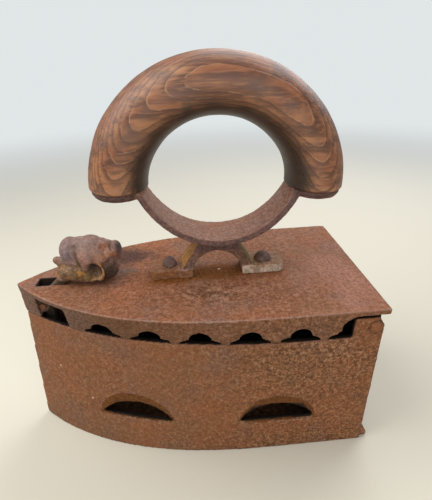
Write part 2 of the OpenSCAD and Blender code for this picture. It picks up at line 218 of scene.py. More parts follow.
class PatinaAndShade:
    """Gathers coloured deposits, painted shade and painted highlights over a mesh, each painted over
    the ones before it.
    """

    def __init__(self, mesh: Mesh) -> None:
        """Starts with a bare surface."""
        self.mesh = mesh
        self.colour = np.zeros((len(mesh.vertices), 3))
        self.share = np.zeros(len(mesh.vertices))

    def add(self, weight: float | Array, tone: Tone) -> None:
        """Paints one deposit, painted shade or painted highlight, with one weight or one per vertex.
        """
        w = np.clip(weight + np.zeros(len(self.share)), 0.0, 1.0)
        self.colour = self.colour * (1.0 - w[:, None]) + np.array(tone.value) * w[:, None]
        self.share = self.share * (1.0 - w) + w

    def store(self) -> None:
        """Writes the deposits and painted light as one colour attribute, with their share as its
        alpha.
        """
        layer = self.mesh.attributes.new("patina_and_shade", "FLOAT_COLOR", "POINT")
        plain = self.colour / np.maximum(self.share, 1e-4)[:, None]
        values = np.hstack([plain, self.share[:, None]]).astype(np.float32)
        layer.data.foreach_set("color", values.ravel())


def object_from(name: str, mesh: Mesh) -> Piece:
    """A new object at the origin that shows the mesh, smooth-shaded."""
    piece = bpy.data.objects.new(name, mesh)
    bpy.context.scene.collection.objects.link(piece)
    mesh.polygons.foreach_set("use_smooth", np.ones(len(mesh.polygons), bool))
    return piece


def surface(name: str, grid: Array, around: bool = True, ends: bool = True) -> Piece:
    """A mesh of four-sided faces over a grid of points.

    Formula: face (i, j) joins grid points (i, j), (i, j + 1), (i + 1, j + 1) and (i + 1, j).
    Around, the last column joins the first. Each end row may be closed by a fan to its middle.

    Args:
        name: Name of the object.
        grid: Points in millimetres, shape (rows, columns, 3).
        around: Joins the last column to the first.
        ends: Closes the first and the last row.

    Returns:
        The object.
    """
    rows, cols = grid.shape[:2]
    index = np.arange(rows * cols).reshape(rows, cols)
    right = np.roll(index, -1, axis=1) if around else index[:, 1:]
    left = index if around else index[:, :-1]
    quads = np.stack([left[:-1], right[:-1], right[1:], left[1:]], axis=-1).reshape(-1, 4)
    points = grid.reshape(-1, 3)
    faces = quads.tolist()
    if ends:
        points = np.vstack([points, grid[0].mean(axis=0), grid[-1].mean(axis=0)])
        tips = np.full(cols, rows * cols)
        faces += np.stack([np.roll(index[0], -1), index[0], tips], axis=-1).tolist()
        faces += np.stack([index[-1], np.roll(index[-1], -1), tips + 1], axis=-1).tolist()
    mesh = bpy.data.meshes.new(name)
    mesh.from_pydata((points * MM).tolist(), [], faces)
    work = bmesh.new()
    work.from_mesh(mesh)
    bmesh.ops.recalc_face_normals(work, faces=work.faces)
    work.to_mesh(mesh)
    work.free()
    return object_from(name, mesh)


def take_data(pieces: Sequence[Piece]) -> list[Mesh]:
    """Removes objects and returns their meshes."""
    meshes = [piece.data for piece in pieces]
    for piece in pieces:
        bpy.data.objects.remove(piece)
    return meshes


def joined(name: str, meshes: Sequence[Mesh]) -> Mesh:
    """One mesh that holds the points and faces of several."""
    faces, base = [], 0
    for mesh in meshes:
        faces += [[base + v for v in p.vertices] for p in mesh.polygons]
        base += len(mesh.vertices)
    made = bpy.data.meshes.new(name)
    made.from_pydata((np.vstack([read_points(m) for m in meshes]) * MM).tolist(), [], faces)
    return made


def welded(name: str, mesh: Mesh) -> Piece:
    """A working object that shows the mesh with its doubles merged."""
    piece = bpy.data.objects.new(name, mesh)
    bpy.context.scene.collection.objects.link(piece)
    piece.modifiers.new("weld", "WELD").merge_threshold = MERGE
    return piece


def settled_mesh(piece: Piece) -> Mesh:
    """A new mesh: the object's own with its modifiers applied."""
    settled = piece.evaluated_get(bpy.context.evaluated_depsgraph_get())
    return bpy.data.meshes.new_from_object(settled)


def carved(source: Mesh, cutters: Sequence[Piece]) -> Mesh:
    """A copy of the mesh, less the room taken by the cutters, which are used up."""
    block = welded("block", source.copy())
    for cutter in cutters:
        bite = block.modifiers.new("bite", "BOOLEAN")
        bite.operation, bite.solver, bite.object = "DIFFERENCE", "EXACT", cutter
    mesh = settled_mesh(block)
    for spent in take_data([block, *cutters]):
        bpy.data.meshes.remove(spent)
    return mesh


def even_skin(name: str, source: Mesh, voxel: float) -> Piece:
    """Makes a new object from a mesh, with its skin laid out in even small squares.

    Doubles are merged first. The squares are settled back on the mesh they came from, so its
    arrises stay crisp.

    Args:
        name: Name of the new object.
        source: The mesh to start from; it isn't changed.
        voxel: Size of the squares, in millimetres.

    Returns:
        The new object, with its modifiers applied.
    """
    rough = welded(name + "_rough", source.copy())
    remesh = rough.modifiers.new("skin", "REMESH")
    remesh.mode = "VOXEL"
    remesh.voxel_size = voxel * MM
    remesh.use_smooth_shade = True
    packed = bpy.data.objects.new(name + "_packed", source)
    bpy.context.scene.collection.objects.link(packed)
    settle = rough.modifiers.new("settle", "SHRINKWRAP")
    settle.target = packed
    settle.wrap_method = "NEAREST_SURFACEPOINT"
    mesh = settled_mesh(rough)
    mesh.name = name
    mesh.materials.clear()
    bpy.data.meshes.remove(take_data([rough])[0])
    bpy.data.objects.remove(packed)
    return object_from(name, mesh)


def relaxed(mesh: Mesh, values: Array, rounds: int) -> Array:
    """Evens out numbers or points over the mesh.

    Formula: in each round every vertex takes half its own value and half its neighbours' mean.

    Args:
        mesh: The mesh whose edges join neighbours.
        values: One row per vertex, shape (n,) or (n, k).
        rounds: How often.

    Returns:
        The evened values, same shape.
    """
    ends = np.empty(len(mesh.edges) * 2, np.int64)
    mesh.edges.foreach_get("vertices", ends)
    a, b = ends.reshape(-1, 2).T
    count = len(mesh.vertices)
    degree = np.maximum(np.bincount(a, minlength=count) + np.bincount(b, minlength=count), 1)
    work = values.reshape(count, -1).astype(float)
    for _ in range(rounds):
        mean = np.stack([np.bincount(a, column[b], count) + np.bincount(b, column[a], count)
                         for column in work.T], axis=-1)
        work = 0.5 * work + 0.5 * mean / degree[:, None]
    return work.reshape(values.shape)


def bulge(mesh: Mesh, rounds: int, reach: float) -> Array:
    """How far vertices stand out of their evened surroundings, over reach; below 0 in corners."""
    points = read_points(mesh)
    return np.sum((points - relaxed(mesh, points, rounds)) * read_normals(mesh), axis=1) / reach


# ---------------------------------------------------------------- decay of the castings


@dataclass(frozen=True)
class Decay:
    """How rust has eaten into one casting. Depths and sizes are in millimetres.

    Attributes:
        waves: Depth of the long unevenness of the old sand mould.
        scale: Depth of the fine scale all over.
        pit: Depth of the rust pits.
        pit_cell: Spacing of the pits.
        chip: Depth of the nibbles out of the arrises.
        seed: Chooses the random fields.
    """

    waves: float = 0.25
    scale: float = 0.12
    pit: float = 0.3
    pit_cell: float = 3.2
    chip: float = 0.5
    seed: int = 1

    def eat(self, piece: Piece, coarse: float | Array, brittle: float | Array = 1.0) -> None:
        """Sinks the surface inwards, and stores masks of arrises and pits.

        Args:
            piece: The piece, changed in place.
            coarse: 0 to 1, where the pits are thickest.
            brittle: 0 to 1, how far the arrises are nibbled.
        """
        mesh = piece.data
        points, normals = read_points(mesh), read_normals(mesh)
        coarse = np.clip(coarse, 0.0, 1.0)
        arris = ramp(bulge(mesh, 5, 0.5), 0.12, 0.55)
        holes = pits(points, self.pit_cell, self.seed + 11, 0.5) * (0.2 + 0.8 * coarse)
        small = pits(points, self.pit_cell * 0.5, self.seed + 23, 0.45) * (0.2 + 0.8 * coarse)
        depth = self.waves * (0.5 + 0.5 * cloud(points, 24.0, self.seed, 2))
        depth += self.scale * (0.5 + 0.5 * cloud(points, 2.6, self.seed + 5, 2))
        depth += self.pit * holes + 0.5 * self.pit * small
        nibble = ramp(cloud(points, 3.4, self.seed + 31, 2), -0.05, 0.75)
        depth += self.chip * brittle * arris * (0.15 + 0.85 * nibble)
        write_points(mesh, points - normals * np.clip(depth, 0.0, None)[:, None])
        set_mask(mesh, "arris", ramp(bulge(mesh, 3, 0.5), 0.06, 0.36))
        set_mask(mesh, "pitted", holes + 0.6 * small)
        set_mask(mesh, "coarse", coarse)


# ---------------------------------------------------------------- shader building


class Graph:
    """Places and joins nodes in one node tree."""

    def __init__(self, tree: bpy.types.NodeTree) -> None:
        """Keeps the tree that nodes are added to."""
        self.tree = tree

    def node(self, kind: str, **settings: object) -> bpy.types.Node:
        """Adds a node of this kind with these settings."""
        made = self.tree.nodes.new(kind)
        for name, value in settings.items():
            setattr(made, name, value)
        return made

    def join(self, source: object, target: Socket) -> None:
        """Links a socket, or sets a plain value, into an input."""
        if isinstance(source, Socket):
            self.tree.links.new(source, target)
        elif isinstance(source, tuple) and target.type == "RGBA" and len(source) == 3:
            target.default_value = (*source, 1.0)
        else:
            target.default_value = source

    def math(self, operation: str, *values: object) -> Socket:
        """One Math node over its inputs in order."""
        made = self.node("ShaderNodeMath", operation=operation)
        for value, target in zip(values, made.inputs):
            self.join(value, target)
        return made.outputs[0]

    def times(self, first: object, second: object) -> Socket:
        """The product of two numbers."""
        return self.math("MULTIPLY", first, second)

    def plus(self, first: object, second: object) -> Socket:
        """The sum of two numbers."""
        return self.math("ADD", first, second)

    def minus(self, first: object, second: object) -> Socket:
        """The first number less the second."""
        return self.math("SUBTRACT", first, second)

    def vector(self, operation: str, *values: object) -> Socket:
        """One Vector Math node over its inputs in order."""
        made = self.node("ShaderNodeVectorMath", operation=operation)
        for value, target in zip(values, made.inputs):
            self.join(value, target)
        return made.outputs["Value" if operation in ("DOT_PRODUCT", "LENGTH") else "Vector"]

    def mix(self, share: object, low: object, high: object, blend: str = "MIX") -> Socket:
        """Blends two colours by a share."""
        made = self.node("ShaderNodeMix", data_type="RGBA", blend_type=blend, clamp_factor=True)
        self.join(share, made.inputs[0])
        self.join(low, made.inputs[6])
        self.join(high, made.inputs[7])
        return made.outputs[2]

    def cover(self, tone: object, colour: object, value: object, low: float, high: float,
              share: float) -> Socket:
        """Lays a colour over a tone, as far as share, where a value rises from low to high."""
        return self.mix(self.times(self.rise(value, low, high), share), tone, colour)

    def noise(self, place: object, scale: float, detail: float, rough: float) -> Socket:
        """A noise texture's number, 0 to 1; scale counts features per metre."""
        made = self.node("ShaderNodeTexNoise")
        self.join(place, made.inputs["Vector"])
        for name, value in (("Scale", scale), ("Detail", detail), ("Roughness", rough)):
            made.inputs[name].default_value = value
        return made.outputs["Fac"]

    def cells(self, place: object, scale: float) -> bpy.types.Node:
        """A cell texture node; scale counts cells per metre."""
        made = self.node("ShaderNodeTexVoronoi")
        self.join(place, made.inputs["Vector"])
        made.inputs["Scale"].default_value = scale
        return made

    def rise(self, value: object, low: float, high: float) -> Socket:
        """Goes smoothly from 0 at low to 1 at high."""
        made = self.node("ShaderNodeMapRange", interpolation_type="SMOOTHSTEP")
        self.join(value, made.inputs["Value"])
        made.inputs["From Min"].default_value = low
        made.inputs["From Max"].default_value = high
        return made.outputs["Result"]

    def mask(self, name: str) -> Socket:
        """A number stored on the mesh."""
        return self.node("ShaderNodeAttribute", attribute_name=name).outputs["Fac"]

    def place(self) -> Socket:
        """The point's place on the piece, in metres."""
        return self.node("ShaderNodeTexCoord").outputs["Object"]

    def finish(self, tone: Socket, rough: Socket, sheen: float, height: Socket,
               relief: float) -> None:
        """Ends a material in a Principled surface.

        Args:
            tone: Its colour.
            rough: Its roughness.
            sheen: Level of the mirror-like part of the light.
            height: Height of the fine grain.
            relief: Millimetres of relief for a height of 1.
        """
        shader, bump = self.node("ShaderNodeBsdfPrincipled"), self.node("ShaderNodeBump")
        self.join(relief * MM, bump.inputs["Distance"])
        self.join(height, bump.inputs["Height"])
        for source, name in ((tone, "Base Color"), (rough, "Roughness"),
                             (sheen, "Specular IOR Level"), (bump.outputs["Normal"], "Normal")):
            self.join(source, shader.inputs[name])
        self.join(shader.outputs[0], self.node("ShaderNodeOutputMaterial").inputs["Surface"])


def blank(owner: bpy.types.Material | bpy.types.World) -> Graph:
    """Empties the node tree of a material or world and returns its graph."""
    owner.use_nodes = True
    owner.node_tree.nodes.clear()
    return Graph(owner.node_tree)


class Effect(Enum):
    """The shader node groups shared by the finishes."""

    CAST_RUST = "cast_rust"
    DEPOSIT = "deposit"
    WORN_ARRIS = "worn_arris"
    PALE_SPECKS = "pale_specks"


def new_group(name: str, inputs: Sequence[tuple[str, str]],
              outputs: Sequence[tuple[str, str]]) -> tuple[Graph, dict, dict]:
    """Starts a node group with named sockets.

    Args:
        name: Name of the group.
        inputs: Name and socket type of each input.
        outputs: Name and socket type of each output.

    Returns:
        The graph, its inputs by name and its outputs by name.
    """
    tree = bpy.data.node_groups.new(name, "ShaderNodeTree")
    for label, kind in inputs:
        tree.interface.new_socket(label, in_out="INPUT", socket_type=kind)
    for label, kind in outputs:
        tree.interface.new_socket(label, in_out="OUTPUT", socket_type=kind)
    graph = Graph(tree)
    entry, leave = graph.node("NodeGroupInput"), graph.node("NodeGroupOutput")
    return graph, {s.name: s for s in entry.outputs}, {s.name: s for s in leave.inputs}


FLOAT, COLOUR, VECTOR = "NodeSocketFloat", "NodeSocketColor", "NodeSocketVector"


class Effects:
    """Builds each shared group once and places it in materials."""

    def __init__(self) -> None:
        """Builds all the groups."""
        self.cast_rust()
        self.deposit()
        self.worn_arris()
        self.pale_specks()

    @staticmethod
    def add(graph: Graph, effect: Effect, **values: object) -> bpy.types.Node:
        """Places a group in a material.

        Args:
            graph: The material's graph.
            effect: Which group.
            values: Sockets or plain values by input name, with _ for a space.

        Returns:
            The group's node.
        """
        made = graph.node("ShaderNodeGroup", node_tree=bpy.data.node_groups[effect.value])
        for name, value in values.items():
            graph.join(value, made.inputs[name.replace("_", " ")])
        return made

    @staticmethod
    def cast_rust() -> None:
        """Grainy brown rust over cast iron: drifts of tone, mottling, dark and light grains."""
        g, i, o = new_group(
            Effect.CAST_RUST.value,
            [("Place", VECTOR), ("Base", COLOUR), ("Warm", COLOUR), ("Grey", COLOUR),
             ("Deep", COLOUR), ("Light", COLOUR), ("Coarse", FLOAT), ("Pitted", FLOAT)],
            [("Color", COLOUR), ("Roughness", FLOAT), ("Relief", FLOAT)],
        )
        drift = g.noise(i["Place"], 19.0, 3.0, 0.55)
        haze = g.noise(g.vector("ADD", i["Place"], (0.31, 0.17, 0.53)), 38.0, 4.0, 0.6)
        mottle = g.noise(i["Place"], 170.0, 4.0, 0.65)
        fleck = g.noise(g.vector("ADD", i["Place"], (0.7, 0.2, 0.1)), 430.0, 3.0, 0.65)
        grain = g.noise(i["Place"], 760.0, 3.0, 0.75)
        tone = g.mix(g.rise(drift, 0.38, 0.64), i["Base"], i["Warm"])
        tone = g.cover(tone, i["Grey"], haze, 0.45, 0.68, 0.8)
        tone = g.cover(tone, i["Warm"], mottle, 0.48, 0.64, 0.6)
        tone = g.cover(tone, i["Grey"], fleck, 0.52, 0.66, 0.5)
        reach = g.plus(0.42, g.times(i["Coarse"], 0.58))
        low = g.minus(1.0, g.rise(grain, 0.38, 0.52))
        sunk = g.minus(1.0, g.rise(fleck, 0.38, 0.5))
        dark = g.math("MAXIMUM", g.times(low, 0.85), g.times(sunk, 0.9))
        tone = g.mix(g.times(dark, reach), tone, i["Deep"])
        crest = g.math("MAXIMUM", g.rise(grain, 0.54, 0.66), g.rise(fleck, 0.56, 0.68))
        high = g.times(crest, g.plus(0.36, g.times(i["Coarse"], 0.6)))
        tone = g.mix(high, tone, i["Light"])
        tone = g.mix(g.times(i["Pitted"], 0.5), tone, i["Deep"])
        g.join(tone, o["Color"])
        height = g.plus(g.times(grain, 0.6), g.times(fleck, 0.7))
        g.join(g.plus(height, g.times(mottle, 0.4)), o["Relief"])
        g.join(g.plus(0.62, g.times(mottle, 0.2)), o["Roughness"])

    @staticmethod
    def deposit() -> None:
        """The colour layer, deposits and painted shade and highlights alike, laid over the surface
        with a ragged edge and a grainy tone.
        """
        g, i, o = new_group(
            Effect.DEPOSIT.value,
            [("Color", COLOUR), ("Place", VECTOR), ("Deposit", COLOUR), ("Share", FLOAT)],
            [("Color", COLOUR), ("Cover", FLOAT)],
        )
        ragged = g.noise(i["Place"], 330.0, 4.0, 0.7)
        spread = g.plus(i["Share"], g.minus(ragged, 0.5))
        cover = g.times(g.rise(spread, 0.12, 0.85), g.rise(i["Share"], 0.0, 0.2))
        grain = g.rise(g.noise(i["Place"], 620.0, 3.0, 0.65), 0.34, 0.62)
        shade = g.mix(1.0, i["Deposit"], (0.52, 0.5, 0.48), "MULTIPLY")
        g.join(g.mix(cover, i["Color"], g.mix(grain, shade, i["Deposit"])), o["Color"])
        g.join(cover, o["Cover"])

    @staticmethod
    def worn_arris() -> None:
        """Handling and knocks along the arrises, which bring up a paler, purplish grey."""
        g, i, o = new_group(
            Effect.WORN_ARRIS.value,
            [("Color", COLOUR), ("Place", VECTOR), ("Arris", FLOAT), ("Worn", COLOUR),
             ("Amount", FLOAT)],
            [("Color", COLOUR), ("Cover", FLOAT)],
        )
        patch = g.noise(i["Place"], 120.0, 4.0, 0.7)
        rubbed = g.rise(g.times(i["Arris"], g.plus(0.5, patch)), 0.35, 0.9)
        cover = g.times(rubbed, i["Amount"])
        g.join(g.mix(cover, i["Color"], i["Worn"]), o["Color"])
        g.join(cover, o["Cover"])

    @staticmethod
    def pale_specks() -> None:
        """A few tiny pale specks of lime and dust stuck in the rust."""
        g, i, o = new_group(
            Effect.PALE_SPECKS.value,
            [("Color", COLOUR), ("Place", VECTOR), ("Speck", COLOUR), ("Share", FLOAT)],
            [("Color", COLOUR)],
        )
        cell = g.cells(i["Place"], 210.0)
        draw = g.vector("DOT_PRODUCT", cell.outputs["Color"], (1.0, 0.0, 0.0))
        chosen = g.math("LESS_THAN", draw, i["Share"])
        core = g.minus(1.0, g.rise(cell.outputs["Distance"], 0.1, 0.2))
        g.join(g.mix(g.times(chosen, core), i["Color"], i["Speck"]), o["Color"])


# ---------------------------------------------------------------- finishes


class Tone(Enum):
    """Colours painted on the iron: deposits by what they are or where they lie, and painted shade,
    sheen and highlights.
    """

    # Black of soot, and painted shade where it lies on the tub's rim.
    SOOT_AND_SHADE = (0.009, 0.008, 0.006)
    ORANGE = (0.165, 0.060, 0.015)
    OCHRE = (0.45, 0.215, 0.052)
    OLIVE = (0.185, 0.112, 0.036)
    CHALK = (0.55, 0.44, 0.34)
    FOOT_DUST = (0.175, 0.098, 0.048)
    REAR_RUST = (0.26, 0.10, 0.035)
    RIM_RUST = (0.27, 0.10, 0.045)
    # Painted glint along the outer edges of the vents' sills.
    LIP_GLINT = (0.36, 0.20, 0.11)
    RIVET_SHADE = (0.085, 0.042, 0.024)
    PIN_RUST = (0.27, 0.10, 0.035)
    # Rosy tone of the lid's rear, partly painted sheen.
    LID_ROSE_AND_SHEEN = (0.37, 0.175, 0.118)
    LID_MAUVE = (0.235, 0.128, 0.098)
    PATCH_DARK = (0.130, 0.060, 0.036)
    PATCH_PALE = (0.43, 0.225, 0.135)
    RUBBED_GREY = (0.20, 0.150, 0.125)
    SPECKLE = (0.090, 0.042, 0.030)
    SKIRT_BROWN = (0.160, 0.078, 0.040)
    SKIRT_GREY = (0.20, 0.125, 0.100)
    FEET_ORANGE = (0.225, 0.078, 0.016)
    # Painted shade in the latch's slot.
    SLOT_SHADE = (0.022, 0.016, 0.010)
    SCREW_RUST = (0.16, 0.07, 0.03)
    LEG_BROWN = (0.120, 0.062, 0.040)
    FRONT_FOOT = (0.250, 0.100, 0.036)
    REAR_FOOT = (0.330, 0.175, 0.085)
    BAND_EDGE = (0.135, 0.072, 0.066)
    MUSTARD = (0.28, 0.165, 0.035)
    # Painted highlight on the top of the bracket's band.
    BAND_HIGHLIGHT = (0.330, 0.140, 0.072)
    PLATE_SHADE = (0.110, 0.058, 0.048)
    DUST = (0.48, 0.36, 0.24)
    LOBE_GREY = (0.215, 0.152, 0.160)
    LOBE_PINK = (0.265, 0.175, 0.140)
    RIDGE_PINK = (0.37, 0.180, 0.112)
    SIDE_PINK = (0.34, 0.170, 0.122)
    GROOVE_BROWN = (0.110, 0.056, 0.016)
    KNOB_ORANGE = (0.25, 0.085, 0.028)
    FOLD_BROWN = (0.24, 0.095, 0.048)
    TIP_ORANGE = (0.43, 0.190, 0.095)
    BACK_SHADE = (0.085, 0.052, 0.050)
    CRUST_BROWN = (0.180, 0.096, 0.034)
    CRUST_TAN = (0.42, 0.25, 0.100)
    CRUST_ORANGE = (0.38, 0.160, 0.026)
    CRUST_DARK = (0.070, 0.040, 0.014)
    # Painted shade on the latch head's side away from the light.
    SHADED_SIDE_BROWN = (0.062, 0.036, 0.020)
    # Painted shade in the latch head's hollow.
    HOLLOW_SHADE = (0.022, 0.015, 0.010)
    HOOP_ORANGE = (0.47, 0.215, 0.075)
    HOOP_TAN = (0.33, 0.190, 0.085)
    BEAD_RED = (0.27, 0.115, 0.070)
    NECK_SHADE = (0.050, 0.034, 0.015)
    HEEL_SHADE = (0.050, 0.035, 0.020)
    STEM_RUST = (0.25, 0.125, 0.075)


@dataclass(frozen=True)
class IronFinish:
    """Rusted cast iron.

    Attributes:
        name: Name of the material.
        base: Main brown.
        warm: Redder brown in drifts.
        grey: Purplish grey haze.
        deep: Dark brown of grains and pits.
        light: Light brown of the standing grains.
        worn: Colour of rubbed arrises.
        speck: Colour of the small pale specks.
        rub: How much the arrises are rubbed.
        specks: Share of small pale specks.
        relief: Height of the fine grain, in millimetres.
        sheen: Level of the mirror-like part of the light.
        patina_and_shade: Whether the mesh carries the colour layer of deposits, painted shade and
            painted highlights.
    """

    name: str
    base: Colour = (0.215, 0.092, 0.041)
    warm: Colour = (0.252, 0.090, 0.034)
    grey: Colour = (0.190, 0.094, 0.062)
    deep: Colour = (0.070, 0.031, 0.013)
    light: Colour = (0.36, 0.195, 0.100)
    worn: Colour = (0.33, 0.24, 0.21)
    speck: Colour = (0.62, 0.50, 0.40)
    rub: float = 0.5
    specks: float = 0.012
    relief: float = 0.3
    sheen: float = 0.2
    patina_and_shade: bool = True

    def material(self) -> bpy.types.Material:
        """Builds the material.

        Returns:
            The material, which reads the masks arris, pitted and coarse and the colour layer of
            deposits, painted shade and painted highlights.
        """
        made = bpy.data.materials.new(self.name)
        g = blank(made)
        place = g.place()
        rust = Effects.add(g, Effect.CAST_RUST, Place=place, Base=self.base, Warm=self.warm,
                           Grey=self.grey, Deep=self.deep, Light=self.light,
                           Coarse=g.mask("coarse"), Pitted=g.mask("pitted")).outputs
        worn = Effects.add(g, Effect.WORN_ARRIS, Color=rust["Color"], Place=place,
                           Arris=g.mask("arris"), Worn=self.worn, Amount=self.rub).outputs
        patina_and_shade = g.node("ShaderNodeAttribute", attribute_name="patina_and_shade").outputs
        # Lays the colour layer of deposits, painted shade and painted highlights.
        crust = Effects.add(g, Effect.DEPOSIT, Color=worn["Color"], Place=place,
                            Deposit=patina_and_shade["Color"],
                            Share=patina_and_shade["Alpha"] if self.patina_and_shade else 0.0).outputs
        specks = Effects.add(g, Effect.PALE_SPECKS, Color=crust["Color"], Place=place,
                             Speck=self.speck, Share=self.specks).outputs
        rough = g.minus(rust["Roughness"], g.times(worn["Cover"], 0.15))
        rough = g.plus(rough, g.times(crust["Cover"], 0.15))
        g.finish(specks["Color"], rough, self.sheen, rust["Relief"], self.relief)
        return made


@dataclass(frozen=True)
class WoodFinish:
    """An old plank-cut hardwood, darkened by hands and heat.

    Attributes:
        name: Name of the material.
        spacing: Distance between growth rings, in millimetres.
        across: Direction in which the rings follow one another.
        early: Lighter brown of a ring.
        red: Redder, darker brown that takes its place in drifts.
        late: Darker brown of a ring.
        line: Tan line of open pores between rings.
        stain: Dark stains from hands.
        scorch_and_shade: Colour of the scorched underside, which also stands for the shade there.
    """

    name: str
    spacing: float = 2.0
    across: Place = (0.09, -1.0, 0.26)
    early: Colour = (0.345, 0.150, 0.064)
    red: Colour = (0.235, 0.082, 0.036)
    late: Colour = (0.082, 0.032, 0.018)
    line: Colour = (0.46, 0.25, 0.13)
    stain: Colour = (0.085, 0.046, 0.038)
    scorch_and_shade: Colour = (0.014, 0.010, 0.007)

    def material(self) -> bpy.types.Material:
        """Builds the material, which reads the mask of scorch and painted shade on the underside."""
        made = bpy.data.materials.new(self.name)
        g = blank(made)
        place = g.place()
        broad = g.minus(g.noise(place, 20.0, 1.0, 0.5), 0.5)
        wobble = g.minus(g.noise(place, 70.0, 3.0, 0.5), 0.5)
        bend = g.plus(g.times(broad, 8.0), g.times(wobble, 1.3))
        depth = g.vector("DOT_PRODUCT", place, tuple(a / MM for a in self.across))
        phase = g.math("FRACT", g.math("DIVIDE", g.plus(depth, bend), self.spacing))
        along = g.node("ShaderNodeMapping")
        g.join(place, along.inputs["Vector"])
        along.inputs["Rotation"].default_value = (0.0, math.radians(7.0), 0.0)
        along.inputs["Scale"].default_value = (0.07, 1.0, 1.0)
        fibre = g.noise(along.outputs[0], 900.0, 4.0, 0.6)
        streak = g.noise(along.outputs[0], 240.0, 3.0, 0.6)
        blotch = g.noise(place, 60.0, 4.0, 0.6)
        year = g.vector("MULTIPLY", g.vector("ADD", place, (0.4, 0.1, 0.7)), (0.4, 1.0, 1.0))
        year = g.noise(year, 75.0, 3.0, 0.6)
        tone = g.mix(g.rise(year, 0.36, 0.64), self.early, self.red)
        tone = g.cover(tone, self.late, phase, 0.3, 0.97, 0.75)
        tone = g.cover(tone, self.late, streak, 0.44, 0.6, 0.7)
        tone = g.cover(tone, self.early, fibre, 0.5, 0.66, 0.55)
        near = g.math("MINIMUM", phase, g.minus(1.0, phase))
        broken = g.rise(g.noise(place, 170.0, 3.0, 0.7), 0.38, 0.62)
        pores = g.times(g.minus(1.0, g.rise(near, 0.02, 0.075)), broken)
        tone = g.mix(g.times(pores, 0.5), tone, self.line)
        tone = g.cover(tone, self.stain, blotch, 0.5, 0.66, 0.6)
        tone = g.mix(g.mask("scorch_and_shade"), tone, self.scorch_and_shade)
        rough = g.plus(0.32, g.times(fibre, 0.25))
        height = g.minus(fibre, g.times(pores, 0.6))
        g.finish(tone, rough, 0.5, height, 0.12)
        return made


# ---------------------------------------------------------------- sub-assemblies


def dress(piece: Piece, material: bpy.types.Material, body: str, slot: str, *nodes: str) -> None:
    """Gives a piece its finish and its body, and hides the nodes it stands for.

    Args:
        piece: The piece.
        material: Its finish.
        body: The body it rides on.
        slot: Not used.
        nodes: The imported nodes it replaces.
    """
    piece.data.materials.clear()
    piece.data.materials.append(material)
    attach(piece, body)
    if nodes:
        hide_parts(*nodes)
    LOG.info("%s: %d faces", piece.name, len(piece.data.polygons))


@dataclass(frozen=True)
class Outline:
    """The iron's boat outline at one height, in millimetres.

    Attributes:
        nose: Place of the nose along the iron.
        half: Greatest half width.
        run: Length over which the outline swells.
        height: Its height above the sole.
    """

    nose: float
    half: float
    run: float
    height: float

    def width(self, x: Array) -> Array:
        """Half widths at places along the iron.

        Formula: half times (1 - (1 - u / run)^2.83)^(1 / 1.07), u being the way behind the nose.
        """
        u = np.clip(x - self.nose, 0.0, self.run) / self.run
        return self.half * np.clip(1.0 - (1.0 - u) ** 2.83, 0.0, 1.0) ** (1.0 / 1.07)


SOLE = Outline(-109.5, 48.0, 171.5, 0.0)
RIM = Outline(-103.9, 52.5, 193.0, 88.4)
LID_EDGE = Outline(-105.0, 55.8, 158.0, 108.5)
# Middle of the bracket and of the grip along the iron, in millimetres.
STAND = 17.6


def inwards(points: Array, low: Outline, high: Outline) -> Array:
    """How far points lie inside the side that is drawn between two outlines, in millimetres."""
    x, y, z = points.T
    share = (z - low.height) / (high.height - low.height)
    return low.width(x) + (high.width(x) - low.width(x)) * share - np.abs(y)


